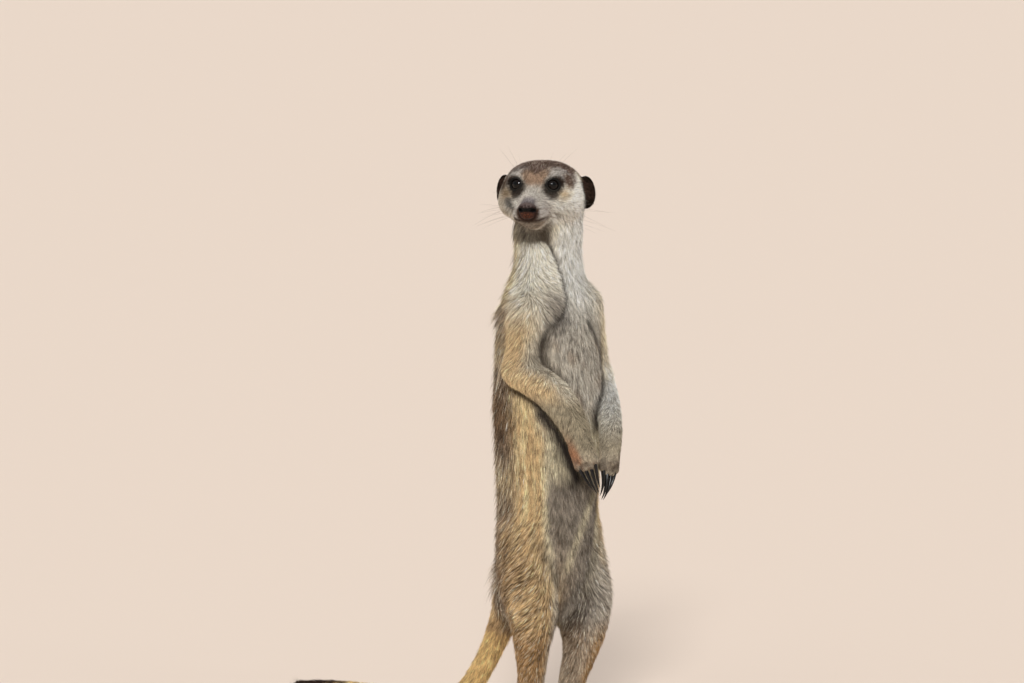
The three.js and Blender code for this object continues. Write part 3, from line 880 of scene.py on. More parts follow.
def face_ground(q):
    x, y, z = face_places(q)
    return [
        ("nape", ramp(y, 7, 15) * ramp(z, -14, -3)),
        # painted shade: the right cheek greyer and darker than the left
        ("cheek_right", ramp(q[:, 0], -13, -18) * ramp(y, -24, -16)),
        ("muzzle", ramp(y, -17, -30)),
        ("bridge", ramp(x, 9, 4) * ramp(y, -15, -21) * ramp(z, -4, 1)),
        ("nose_top", ramp(x, 5.5, 2.5) * ramp(y, -32, -39.5) * ramp(z, -5, -2)),
        # The chin's grey brown is partly its own and partly painted shade under the jaw.
        ("chin", 0.8 * ramp(z, -9, -11) * ramp(y, -19, -27)),
    ]


def crown_and_brow(q, grain):
    x, y, z = face_places(q)
    right = on_right(q)
    # On the right side the dark crown comes lower and the pale brow spot is fainter: painted shade.
    crown_edge = -7.2 - 10 * blob(x, 7.8) - 3.6 * right + grain
    crown = ramp(y - crown_edge, -1.4, 1.4) * ramp(z + 0.35 * y, 3, 6) * ramp(x + 0.4 * grain, 20.6, 18.6)
    return [
        ("forehead", ramp(x - 0.6 * (z - 8) + grain, 7.5, 3) * ramp(y, -28, -22) * ramp(z, 4.5, 9)),
        ("brow", 0.8 * ramp(z, 8, 11) * ramp(x, 19, 15) * ramp(x, 6, 9) * ramp(y, -3, -8)),
        ("crown", crown),
        ("brow", (0.7 - 0.4 * right) * spot(x, y, (10, -14), (1.3, 1.1), 3.2) * ramp(z, 9, 12)),
    ]


def cheek_marks(q, grain):
    x, y, z = face_places(q)
    across, up, front = about_eye(q)
    corner = np.hypot((x - 16.6) / 4, oval(y, z, (-12, 8.8), (1.3, 1)) / 5) + 0.1 * grain
    return [
        ("eye_corner", 0.95 * ramp(corner, 1.3, 0.6)),
        ("under_eye", 0.8 * spot(across, up, (5.6, -5.2), (5, 3.4)) * front),
        ("cream", spot(y, z, (2, 8.6), (1.1, 1), 4.6) * ramp(x, 16.5, 18.5)),
        ("mouth_corner", 0.45 * spot(y, z, (-18, -8.5), (5, 2.6)) * ramp(x, 4, 6)),
        ("jaw_left", 0.9 * spot(q[:, 0], z, (11, -17.5), (6, 4.5)) * ramp(y, -16, -12)),
    ]


# Painted shade on the right side of the face: a darker brow spot, temple and place below it, and a dark line
# down the muzzle's edge where it meets the cheek.
def right_side_marks(q):
    _, y, z = face_places(q)
    right = on_right(q)
    return [
        ("brow_right", 0.8 * right * spot(y, z, (-10.5, 14), (1.4, 1), 4.5)),
        ("temple", 0.95 * right * spot(y, z, (-13.6, 5.6), (1.2, 1), 4.4)),
        ("temple_low", 0.8 * right * spot(y, z, (-18.4, 2.6), (1, 1), 3)),
        ("muzzle_edge", 0.95 * right * blob(y + 19.8, 2.3) * ramp(z, 2, -1) * ramp(z, -10, -7)),
    ]


def eye_patches(q, grain):
    """The dark patch slants up and out past the eye and drops below its inner corner."""
    across, up, front = about_eye(q)
    fuzz = 0.04 * grain + 0.05 * noise(q, 0.8, 67)
    along = 0.87 * across + 0.5 * (up + 0.8)
    aside = 0.87 * (up + 0.8) - 0.5 * across
    ring = np.hypot(along / np.where(along > 0, 7.8, 7), aside / 5) + fuzz
    drop = oval(across, up, (-1, -4.4), (4.2, 4.3)) + fuzz
    rim = oval(across, up, (0, -0.5), (5.8, 5.2)) + fuzz
    return [
        ("eye_patch", any_of(ramp(ring, 1.2, 0.7), 0.9 * ramp(drop, 1.2, 0.6)) * front),
        ("eye_rim", ramp(rim, 1, 0.65) * front),
    ]


def nose_and_mouth(q):
    x, y, z = face_places(q)
    rows = blob((z + 3.4 + 0.25 * (y + 33)) % 2.6 - 1.3, 0.5) * blob(y % 3 - 1.5, 0.6)
    return [
        ("whisker_spot", 0.75 * rows * ramp(x, 3.5, 5) * blob(y + 32, 5) * blob(z + 5.5, 3.5)),
        ("nose_side", ramp(nose_distance(q), 2.6, 0.8) * ramp(z, -1, -4.5)),
        ("lip", 0.95 * blob(z - mouth_line(x, y), 0.9) * ramp(y, -20, -24) * ramp(x, 11, 7)),
    ]


def ear_colours(q):
    _, y, z = face_places(q)
    bowl = egg(both_sides(q), *EAR_BOWL, EAR_TURN) + 0.3 * noise(q, 2, 64)
    return layered(
        HUES["ear"],
        ("ear_bowl", ramp(bowl, 1.2, -0.3) * ramp(z, -5, -1)),
        ("ear_fringe", 0.7 * ramp(z, 6.5, 9) * ramp(y, 7, 4)),
    )


def trunk_colours(place):
    p, turn, facing = place.p, place.turn(), place.facing()
    x, height = p[:, 0], p[:, 2]
    mottle = ramp(noise(p * row(1, 1, 0.2), 6, 46), -1.8, 0.9)
    patches = ramp(noise(p * row(1, 1, 0.45), 7, 47), 0.1, 1.7) * ramp(height, 222, 205)
    chest = ramp(turn, 62, 46) * ramp(height, 158, 182)
    past_thin = turn - np.interp(height, *np.array(THIN_BELLY).T) + 1.5 * noise(p, 12, 63)
    c = layered(
        HUES["side"],
        ("flank", 0.75 * ramp(height, 182, 166) * mottle),
        ("belly", ramp(turn, 52, 38) * ramp(height, 186, 160)),
        ("chest", chest),
        ("brown", 0.4 * patches * chest),
        ("throat", ramp(height, 218, 242) * ramp(facing, 0.25, -0.3)),
        ("nape", ramp(height, 228, 246) * ramp(facing, 0.35, 0.8)),
        # painted light: the right side of the throat paled against the shade that falls there
        ("throat_right", 0.9 * ramp(height, 226, 244) * ramp(facing, 0.5, 0) * ramp(x, -4, -10)),
        # painted shade in the hollow before the right shoulder
        ("armpit", 0.95 * spot(x, height, (-12, 232), (8, 10)) * ramp(facing, -0.3, -0.6)),
        ("thin_belly", ramp(past_thin, 4, -4) * ramp(height, 146, 132)),
        ("belly", 0.75 * blob(line_distance(p, GROIN), 2.6)),
    )
    back = layered(
        HUES["back"],
        ("side", 0.45 * any_of(blob(height - 208, 9), blob(height - 137, 9))),
        ("brown", 0.8 * blob(height - 172, 15)),
    )
    c = mix(c, back, ramp(facing, -0.42, 0.15) * ramp(height, 244, 224))
    teats = any_of(*(spot(np.abs(x), height, at, (1, 1), size) for at, size in TEATS))
    return layered(c, ("teat", teats * ramp(facing, -0.6, -0.8)))


def shadowed(place):
    """From 0 to 1: painted shade in the folds and creases and where limbs lie against the trunk, and the
    painted shadows of the arms on it.
    """
    p, height = place.p, place.p[:, 2]
    width = 1.1 + 1.4 * ramp(height, 228, 212)
    fold = blob(line_distance(p, FOLD) / width, 1) * ramp(place.head, -3, 0)
    fold = fold * (0.95 - 0.5 * ramp(height, 229, 218))
    arms = np.minimum(place.arm["left"], place.arm["right"])
    off_arms = ramp(arms - place.trunk, -1, 1.5)
    under_width = 2.2 + 3 * ramp(height, 168, 150)
    return any_of(
        fold,
        0.75 * place.creases(),
        0.7 * ramp(arms, 5.5, 0.5) * off_arms * ramp(height, 226, 212),
        blob(line_distance(p, UNDER_ARM) / under_width, 1) * off_arms,
        0.45 * blob(line_distance(p, ARMPIT), 4.5),
        0.75 * blob(line_distance(p, ARM_CREASE), 1.7),
    )


def back_bands(place):
    """Dark, wavering bands across the back, from 0 to 1."""
    p, height = place.p, place.p[:, 2]
    wave = np.sin(2 * math.pi * (height + 4 * noise(p, 26, 41) + 1.6 * noise(p, 6, 42)) / BAND_PITCH)
    on_back = ramp(place.facing(), 0, 0.5) * ramp(height, 232, 214) * ramp(height, 66, 80)
    return ramp(wave, -0.2, 0.6) * on_back


def arm_colours(side, place, normal):
    height, looks = place.p[:, 2], SIDE_LOOKS[side]
    outward = normal[:, 0] * SIDES[side]
    outer = looks["tan"] * ramp(outward + 0.7 * normal[:, 1], -0.5, 0.4)
    rear = ramp(outward + 0.5 * normal[:, 1], 0.3, 0.85)
    return layered(
        HUES["shoulder"],
        ("upper_arm", outer * ramp(height, 236, 215)),
        ("elbow", 0.8 * blob(height - 196, 10) * outer),
        ("forearm", ramp(height, 189, 178)),
        ("hand", ramp(height, 160, 148)),
        ("wrist", 0.85 * blob(height - 154, 8) * rear),
        # painted light on the upper forearm, on the left side only
        ("pale_arm", looks["pale_arm"] * blob(height - 183, 15)),
        ("claw_root", 0.6 * ramp(np.abs(height - 146) + 1.6 * noise(place.p, 3, 45), 6.5, 0.5)),
    )


def leg_colours(side, place, normal):
    p, height, looks = place.p, place.p[:, 2], SIDE_LOOKS[side]
    inner = -normal[:, 0] * SIDES[side]
    rear = ramp(normal[:, 1] + 0.25 * noise(p * row(1, 1, 0.35), 6, 66), -0.35, 0.4)
    ridge = blob(line_distance(p, THIGH_RIDGES[side]), 2.6)
    return layered(
        HUES["thigh"],
        ("brown", 0.95 * rear * ramp(height, 130, 104)),
        ("brown", looks["thigh_patch"] * spot(p @ FRONT_LEFT, height, (-18.5, 89), (7, 11))),
        ("ash_leg", ramp(inner - 0.25 * normal[:, 1], looks["ash_from"], looks["ash_from"] + 0.5)),
        ("inner_leg", ramp(inner, 0.3, 0.8) * ramp(height, 36, 58)),
        ("inner_leg", 0.9 * spot(p[:, 0], height, (12, 73), (6, 9))),
        ("ridge", 0.8 * ridge * ramp(height, 56, 66)),
        ("shank", ramp(height, 64, 44) * (0.45 + 0.55 * ramp(inner, 0.5, -0.1))),
        ("foot", ramp(height, 24, 12)),
    )


def tail_colours(p):
    along, _, _ = TAIL_CHAIN.along(p)
    height = p[:, 2] + 0.15 * p[:, 0] + noise(p, 5, 44)
    return layered(
        HUES["tail_base"],
        ("tail", ramp(height, 52, 46)),
        ("brown", 0.6 * blob(height - 51, 3.5)),
        ("tail_tip", ramp(along + 0.02 * noise(p, 9, 43), 0.76, 0.86)),
    )


def blend(share, parts):
    """One row for each point, from a row for each part of the animal and the part's share."""
    return sum(share[name][:, None] * rows for name, rows in parts.items())


def markings(place, normal):
    """The coat's colour at each point, at the tips of the hair, with painted shade in the folds and by the
    arms, and a painted shadow below the chin.
    """
    share = place.shares()
    ears = ear_colours(place.q)
    parts = {"head": head_colours(place.q), "trunk": trunk_colours(place), "ear": ears}
    for side in SIDES:
        parts["arm_" + side] = arm_colours(side, place, normal)
        parts["leg_" + side] = leg_colours(side, place, normal)
    parts["tail"] = tail_colours(place.p)
    # Painted shade and shadow of the folds and the arms, on all but the head
    c = layered(blend(share, parts), ("fold", shadowed(place) * (1 - share["head"])))
    c = mix(c, ears, ramp(place.ear, 1.6, 0.6))
    x, y, z = place.q.T
    # Painted shadow that the chin throws on the top of the throat.
    under_chin = ramp(place.p[:, 2], 264.5, 268.5) * ramp(z, -10.5, -14) * ramp(x, 12, 5) * ramp(y, -23, -19)
    return layered(c, ("under_chin", 0.85 * under_chin))


# The ways that the hair lies, before it is laid along the skin
def head_flow(q):
    x, y, z = q.T
    low = ramp(z, 2, -8)
    return columns(np.clip(x / 4, -1, 1) * (0.15 + 0.35 * low), 1,
                   -0.1 - 0.75 * low * ramp(y, -34, -16)) @ HEAD_TURN.T


def ear_flow(q):
    return columns(0.4 * np.sign(q[:, 0]), 1, -0.3) @ HEAD_TURN.T


def trunk_flow(place):
    """Down, with the throat's hair combed to the fold and the belly's parted down its middle."""
    facing = place.facing()
    x, height = place.p[:, 0], place.p[:, 2]
    throat = ramp(height, 206, 226) * ramp(facing, 0.5, -0.1)
    past_fold = x - np.interp(height, *np.array(FOLD)[::-1].T[::-1])
    to_fold = ((0.9 + 0.5 * ramp(height, 230, 244)) * ramp(past_fold, 0.5, -2)
               - 0.15 * ramp(past_fold, -0.5, 3))
    side = blob(facing + 0.1, 0.5) * ramp(height, 215, 190)
    low = ramp(height, 142, 116) * ramp(facing, -0.9, -0.5)
    return columns(throat * to_fold + 0.3 * low * np.sign(x),
                   -0.3 * side + 0.25 * ramp(facing, 0.4, 0.9) + 0.5 * low, -1)


def arm_flow(side, p):
    """Back and down the upper arm, then along the forearm and the hand."""
    height = p[:, 2]
    _, _, run = LOWER_ARMS[side].along(p)
    way = mix(row(0, 0.55, -1), run * 0.9 + row(0, 0.5, -0.1), ramp(height, 196, 182))
    return mix(way, run, ramp(height, 160, 150))


def leg_flow(side, p):
    """Back and out round the thigh, down the shank and forward along the foot."""
    height = p[:, 2]
    _, forward, _ = foot_frame(side)
    combed = 0.35 + 0.65 * blob(height - 72, 34)
    shaft = columns(0.6 * SIDES[side] * combed, combed, -1)
    return mix(shaft, forward * 1.1 + row(0, 0, -0.3), ramp(height, 20, 10))


def hair_flow(place, share):
    flows = {"head": head_flow(place.q), "trunk": trunk_flow(place), "ear": ear_flow(place.q)}
    for side in SIDES:
        flows["arm_" + side] = arm_flow(side, place.p)
        flows["leg_" + side] = leg_flow(side, place.p)
    _, _, flows["tail"] = TAIL_CHAIN.along(place.p)
    return blend(share, flows)


PLAN = {"length": 0, "depth": 1, "density": 2, "dark": 3, "pale": 4, "loose": 5, "flow": slice(6, 9)}


def coat_plan(p, normal):
    """For each point of the skin: what its hair is like, as columns named in PLAN."""
    place = Place(p)
    share = place.shares()
    x, y, z = face_places(place.q)
    fold = blob(line_distance(p, FOLD), 3) * ramp(place.head, -1, 3)
    by_ear = ramp(ear_field(place.q), 7, 2.5) * share["head"]
    # hair that stands off: at the corners of the mouth, between the legs and the tail, and one tuft
    corner = blob(np.hypot((x - 10.5) / 1.2, oval(y, z, (-25, -6), (1, 2.2))), 4.5) * share["head"]
    legs = np.minimum(place.leg["left"], place.leg["right"])
    rump = blob(legs - place.tail, 5) * ramp(legs, 9, 4) * ramp(p[:, 2], 42, 50)
    tuft = blob(np.linalg.norm(p - row(*SHOULDER_TUFT), axis=1), 4)
    length = hair_length(place, share) * (1 - 0.5 * fold) * (1 - 0.6 * by_ear)
    length = length + 2.5 * corner + 4 * rump + 4 * tuft
    lift = 1 - 0.45 * fold + 1.3 * corner + rump + 2 * tuft
    cover = (1 - bare_skin(place, share, normal)) * (5 + 2.5 * ramp(length, 4, 2.2))
    density = cover / (length * hair_width(length))
    dark, pale = dark_and_pale(place, share)
    loose = 1 - share["head"] - share["ear"]
    return np.column_stack([length, place.coat_depth(share) * lift, density, dark, pale, loose,
                            hair_flow(place, share)])


def hair_length(place, share):
    height, back = place.p[:, 2], ramp(place.facing(), -0.4, 0.4)
    _, y, z = face_places(place.q)
    *_, from_eye = eye_parts(place.q)
    head = 1.6 + 1.2 * ramp(y, -36, -24) + 1.3 * ramp(y, -13, 3) + 2.2 * ramp(z, -2, -11) * ramp(y, -24, -10)
    return by_part(
        share,
        head=head * (1 - 0.5 * blob(from_eye - EYE_RADIUS, 4.5)),
        ear=1.5,
        tail=5.5,
        trunk=6.8 + 3.4 * back - 1.2 * ramp(height, 225, 255) - 2.4 * ramp(height, 140, 115) * (1 - back),
        arm=2.1 + 1.7 * ramp(height, 150, 172) + 2.2 * ramp(height, 182, 215),
        leg=2 + 2.8 * ramp(height, 12, 36) + 2.4 * ramp(height, 48, 84),
    )


def hair_width(length):
    return 0.11 + 0.012 * length


def dark_and_pale(place, share):
    """How many of the hairs are dark, and how many of the others are pale."""
    height, back = place.p[:, 2], ramp(place.facing(), -0.4, 0.4)
    _, y, z = face_places(place.q)
    throat = ramp(height, 218, 240) * (1 - back)
    dark = by_part(
        share,
        head=0.05 + 0.33 * ramp(z, 9, 13) + 0.08 * ramp(y, -10, -20) * ramp(z, 2, -3),
        trunk=0.12 - 0.06 * throat + 0.34 * back + 0.42 * back_bands(place),
        tail=0.1,
        arm=0.1,
        **{"leg_" + side: 0.12 + SIDE_LOOKS[side]["dark_leg"] * ramp(height, 26, 70) for side in SIDES},
    )
    pale = by_part(
        share,
        trunk=back * (1 - 0.8 * blob(height - 172, 15)),
        leg=0.4,
        head=0.15 * ramp(z, 7, 11) * ramp(y, -19, -14),
    )
    return dark, pale


def bare_skin(place, share, normal):
    """From 0 to 1: the eyes' openings, the lips, under the nose pad, the soles and the ears' bowls."""
    q, height = place.q, place.p[:, 2]
    x, y, z = face_places(q)
    out, across, up, _ = eye_parts(q)
    return any_of(
        ramp(lid_opening(across, up), 0.45, 0.2) * (out > 0),
        ramp(place.head, 3, 2) * blob(z - mouth_line(x, y), 0.35) * ramp(y, -24, -28),
        ramp(nose_distance(q), 0.1, -0.5),
        ramp(height, 1.6, 0.8) * ramp(normal[:, 2], -0.3, -0.7),
        share["ear"] * ramp(egg(on_left(q), *EAR_BOWL, EAR_TURN), 0.5, 0.2),
    )


# ---------------------------------------------------------------- coat
HAIRS = 690_000
MOST_HAIRS = 98_000  # in one piece
TRUNK_CUTS = (242, 190, 128)  # heights where the neck's, chest's, belly's and hips' coats part
SKIN_TONE = 0.5  # how bright the skin is beside the hair over it
LOCK_SIZE, LOCK_SEED = 3.6, 53  # how far apart the locks of hair are, and their noise
COMB_LENGTH = 12  # the stretch of coat over which locks are drawn out along the hair
ROOT_DEPTH = 0.2  # how far below the skin a hair starts
FLOOR_GAP = 0.2  # the least height of a hair above the floor
STRAYS, STRAY_LIFT = 0.05, 1.45  # the share of hairs that stand off the loose coat, and how far


def piece_of(p):
    """The number of the coat piece, in the order of UNWRAPS, that each point belongs to."""
    place = Place(p)
    share = place.shares()
    names = ["head", "ear", "trunk", "arm_left", "arm_right", "leg_left", "leg_right", "tail"]
    best = np.argmax(np.stack([share[name] for name in names]), 0)
    height = p[:, 2]
    trunk = np.select([height > cut for cut in TRUNK_CUTS], [1, 2, 3], 4)
    return np.select([best <= 1, best == 2], [0, trunk], best + 2)


def round_limb(limb, p):
    """Across and along an unwrap of a limb, each from 0 to 1, with what is past its end kept apart."""
    along, middle, way = limb.along(p)
    first = unit(np.cross(way, row(1, 0, 0)))
    second = np.cross(way, first)
    out = p - middle
    turn = turn_share((out * second).sum(1), (out * first).sum(1))
    past = (p - limb.links[-1, :3]) @ limb.ways[-1]
    return turn, 0.8 * along + 0.2 * np.clip(past / 14, 0, 1)


def unwrap_head(p):
    q = to_head(p)
    x, y, z = q.T
    out = np.hypot(x, z + 1)
    v = np.where(y < 2, y + out, y + 44 - out)
    on_head = np.stack([turn_share(x, z + 1), np.clip((v + 45) / 116, 0, 1) * 0.76], 1)
    on_ear = np.stack([(y + 4) / 36 + 0.5 * (x > 0), 0.8 + np.clip((z + 10) / 100, 0, 0.2)], 1)
    return np.where((ear_field(q) < 1.2)[:, None], on_ear, on_head)


def unwrap_arm(side, p):
    upper, _, _ = UPPER_ARMS[side].along(p)
    turn, lower = round_limb(LOWER_ARMS[side], p)
    turn_up, _ = round_limb(UPPER_ARMS[side], p)
    is_upper = (upper < 1) & (p[:, 2] > 190)
    return np.stack([np.where(is_upper, turn_up, turn),
                     np.where(is_upper, 0.36 * upper, 0.4 + 0.6 * lower)], 1)


def unwrap_leg(side, p):
    turn, along = round_limb(SHAFTS[side], p)
    ankle, forward, across = foot_frame(side)
    out = p - ankle - row(0, 0, 5)
    foot = np.stack([turn_share(out @ across, out[:, 2]),
                     0.64 + 0.36 * np.clip((out @ forward + 12) / 62, 0, 1)], 1)
    return np.where((p[:, 2] < 14)[:, None], foot, np.stack([turn, along * 0.75], 1))


def unwrap_trunk(low, high, p):
    centre = next(trunk_row(p[:, 2]))
    return np.stack([turn_share(p[:, 0], p[:, 1] - centre), np.clip((p[:, 2] - low) / (high - low), 0, 1)], 1)


# How each piece of the coat is laid flat: places from 0 to 1 both ways. A trunk piece's two numbers are
# the heights at its ends.
UNWRAPS = {
    "coat_head": unwrap_head,
    "coat_neck": partial(unwrap_trunk, 236, 290),
    "coat_chest": partial(unwrap_trunk, 186, 246),
    "coat_belly": partial(unwrap_trunk, 124, 194),
    "coat_hips": partial(unwrap_trunk, 48, 132),
    "coat_arm_left": partial(unwrap_arm, "left"),
    "coat_arm_right": partial(unwrap_arm, "right"),
    "coat_leg_left": partial(unwrap_leg, "left"),
    "coat_leg_right": partial(unwrap_leg, "right"),
    "coat_tail": lambda p: np.stack(round_limb(TAIL_CHAIN, p), 1),
}


def sample_roots(skin, rng):
    """Roots spread over the skin by the density planned for them, with their plan and normal."""
    mesh = skin.data
    mesh.calc_loop_triangles()
    corners = np.empty(len(mesh.loop_triangles) * 3, np.int32)
    mesh.loop_triangles.foreach_get("vertices", corners)
    corners = corners.reshape(-1, 3)
    p = mesh_points(mesh)
    normal = np.empty(len(p) * 3, np.float32)
    mesh.vertices.foreach_get("normal", normal)
    normal = normal.reshape(-1, 3).astype(float)
    plan = coat_plan(p, normal)
    a, b, c = (p[corners[:, k]] for k in range(3))
    area = np.linalg.norm(np.cross(b - a, c - a), axis=1) / 2
    weight = area * plan[corners, PLAN["density"]].mean(1)
    total = np.cumsum(weight)
    at = (np.arange(HAIRS) + rng.random(HAIRS)) / HAIRS * total[-1]
    chosen = corners[np.minimum(np.searchsorted(total, at), len(corners) - 1)]
    off_first = np.sqrt(rng.random(HAIRS))
    to_third = rng.random(HAIRS)
    share = np.stack([1 - off_first, off_first * (1 - to_third), off_first * to_third], 1)

    def at_roots(values):
        return np.einsum("hk,hk...->h...", share, values[chosen])

    set_colour(mesh, "skin", SKIN_TONE * markings(Place(p), normal))
    return at_roots(p), unit(at_roots(normal)), at_roots(plan)


def make_hairs(roots, normal, plan, levels, rng):
    """Four points and four colours for each hair: the root, two half way and the tip."""
    # Places drawn in along the hair. Noise that is read there makes long locks.
    run = unit(plan[:, PLAN["flow"]])
    local = roots - COMB_LENGTH * np.round(roots / COMB_LENGTH)
    combed = roots - 0.82 * run * (local * run).sum(1, keepdims=True)
    lock = noise(combed, LOCK_SIZE, LOCK_SEED)
    points, middle = hair_points(roots, normal, plan, combed, lock, levels, rng)
    return points, hair_colours(middle, normal, plan, combed, lock, rng)


def hair_points(roots, normal, plan, combed, lock, levels, rng):
    """A flat blade for each hair that lies along the flow, leans into its lock and rises to its depth."""
    count = len(roots)
    length, depth, loose = (plan[:, PLAN[name]] for name in ("length", "depth", "loose"))
    run = unit(plan[:, PLAN["flow"]])
    lean = (run * normal).sum(1, keepdims=True)
    way = unit(run - normal * (lean - 0.25 * np.maximum(lean, 0)))
    turn = 0.09 * rng.normal(size=count) + 0.08 * noise(roots, 17, 51)
    side = np.cross(normal, way)
    way = way * np.cos(turn)[:, None] + side * np.sin(turn)[:, None]
    side = np.cross(normal, way)
    pull = (noise(combed + side * 0.6, LOCK_SIZE, LOCK_SEED) - lock) * np.clip((length - 2) / 6, 0, 1)
    long = length * rng.uniform(0.7, 1.25, count)
    stray = rng.random(count) < STRAYS * loose
    lift = np.where(stray, STRAY_LIFT, 0.78 + 0.4 * rng.random(count) + 0.1 * loose * lock)
    rise = depth * np.maximum(lift, 0.4)
    middle = roots + way * (0.48 * long)[:, None] + side * (0.15 * pull)[:, None]
    tip = roots + way * long[:, None] + side * (0.4 * pull)[:, None]
    for _ in range(2):
        middle = middle + normal * np.clip(0.68 * rise - levels(middle), -4, 4)[:, None]
        tip = tip + normal * np.clip(rise - levels(tip), -5, 5)[:, None]
    roll = 0.55 * rng.normal(size=count)
    flat = side * np.cos(roll)[:, None] + normal * np.sin(roll)[:, None]
    half = (hair_width(length) / 2 * rng.uniform(0.7, 1.3, count))[:, None] * flat
    points = np.stack([roots - normal * ROOT_DEPTH, middle + half, tip, middle - half], 1)
    points[..., 2] = np.maximum(points[..., 2], FLOOR_GAP)
    return points, middle


def hair_colours(middle, normal, plan, combed, lock, rng):
    """The markings, varied by hair and by lock, darker at the root as painted shade deep in the coat, and
    paler at the tip.
    """
    count = len(middle)
    length, dark, pale, loose = (plan[:, PLAN[name]] for name in ("length", "dark", "pale", "loose"))
    fine = noise(combed, 1.15, 57)
    fine_tone = 0.06 + 0.11 * ramp(length, 2.2, 4.6)
    is_dark = rng.random(count) < np.clip(dark * (1 - 0.6 * lock - 0.6 * fine), 0, 0.9)
    tone = np.exp((0.3 - 0.03 * loose) * rng.normal(size=count) + 0.04 * lock + fine * fine_tone)
    hue = markings(Place(middle), normal)
    is_pale = ~is_dark & (rng.random(count) < 0.4 * pale)
    hue = layered(hue, ("dark_hair", 0.7 * is_dark), ("pale_hair", 0.6 * is_pale)) * tone[:, None]
    ends = hue * np.where(is_dark, 1.2, 1.1)[:, None]
    # Painted shade at the roots, the deeper where many of the hairs are dark
    base = hue * np.clip(0.5 - 0.5 * dark, 0.3, 1)[:, None]
    return np.clip(np.stack([base, hue, ends, hue], 1), 0, 0.9)


def make_coat(skin, levels):
    """The coat in pieces, each a mesh of flat tapered hairs with its colours and a place to bake them."""
    rng = np.random.default_rng(SEED)
    roots, normal, plan = sample_roots(skin, rng)
    points, colours = make_hairs(roots, normal, plan, levels, rng)
    number = piece_of(roots)
    pieces = []
    corners = np.array([[0, 1, 3], [1, 2, 3]])
    patch = 0.0015 * np.array([[0, -1], [1, 0], [0, 1], [-1, 0]])  # each hair's own place in the bake
    for n, (name, unwrap) in enumerate(UNWRAPS.items()):
        mine = np.flatnonzero(number == n)
        if len(mine) > MOST_HAIRS:
            mine = mine[np.linspace(0, len(mine) - 1, MOST_HAIRS).astype(int)]
        first = np.arange(len(mine))[:, None, None] * 4
        faces = (first + corners[None]).reshape(-1, 3)
        piece = add_mesh(name, points[mine].reshape(-1, 3), faces)
        set_colour(piece.data, "coat", colours[mine].reshape(-1, 3))
        place = 0.01 + 0.98 * np.clip(unwrap(roots[mine]), 0, 1)
        flat = (place[:, None] + patch[None]).reshape(-1, 2)[faces.ravel()]
        layer = piece.data.uv_layers.new(name="OFBake")
        layer.data.foreach_set("uv", flat.astype(np.float32).ravel())
        pieces.append(piece)
    return pieces


# ---------------------------------------------------------------- eyes, nose, claws and whiskers
def lathe(name, profile, at, way, sides):
    """A form turned about a line: profile is rows of distance along the line and radius."""
    profile = row(*profile)
    way = unit(row(*way))
    first = unit(np.cross(way, row(0, 0, 1)))
    second = np.cross(first, way)
    turn = once_round(sides)
    ring = np.cos(turn)[:, None] * first + np.sin(turn)[:, None] * second
    points = at + profile[:, None, :1] * way + profile[:, None, 1:] * ring[None]
    return add_mesh(name, points.reshape(-1, 3), strip(len(profile), sides))


def strip(rings, sides):
    """The quads between rings of points that follow each other."""
    a = np.arange(rings - 1)[:, None] * sides
    v = np.arange(sides)[None]
    w = (v + 1) % sides
    return np.stack([a + v, a + w, a + sides + w, a + sides + v], -1).reshape(-1, 4)


EYE_SIDES = 48
EYE_HUES = hues(pupil="#010101", iris="#0f0804", iris_edge="#060403", white="#14100e")
# The eye's rings: hue, and the degrees from its middle at which that starts and is full
EYE_RINGS = [("iris", 17, 20), ("iris_edge", 30, 38), ("white", 46, 52)]
# The nose's hues: its orange-brown glints are painted highlights, and its nostrils' near black is painted
# shade.
NOSE_HUES = hues(pad="#3b2015", edge="#241511", speck="#7a452c", top="#574a46", nostril="#060403")


def make_eye(side):
    """A ball with a bulging cornea, coloured in rings about its gaze."""
    mirror = row(SIDES[side], 1, 1)
    at = from_head((EYE_AT * mirror)[None])[0]
    way = HEAD_TURN @ (row(*GAZE) * mirror)
    angles = np.radians(np.linspace(0.5, 179.5, 60))
    cornea = 0.35 * blob(angles, 0.55)
    profile = np.stack([np.cos(angles), np.sin(angles)], 1) * (EYE_RADIUS + cornea)[:, None]
    eye = lathe("eyeball_" + side, profile[::-1], at, way, EYE_SIDES)
    turn = np.repeat(np.degrees(angles[::-1]), EYE_SIDES)
    colours = EYE_HUES["pupil"]
    for hue, start, full in EYE_RINGS:
        colours = mix(colours, EYE_HUES[hue], ramp(turn, start, full))
    set_colour(eye.data, "eye", colours)
    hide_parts("eye_" + side)
    return eye


def nose_field(q):
    """The nose pad, with two nostrils that open to the sides and the groove between them."""
    m = both_sides(q, 0.3)
    d = smooth_min(egg(q, *NOSE_PAD), egg(q, *NOSE_LIP), 1.6)
    d = smooth_max(d, q[:, 1] + 37.5, 1)
    d = smooth_max(d, -cone(m, *NOSTRIL), 0.7)
    d = smooth_max(d, -cone(m, *NOSTRIL_SLIT), 0.5)
    groove = blob(q[:, 0], 0.3) * ramp(q[:, 2], -1.6, -3)
    return d + 0.4 * groove


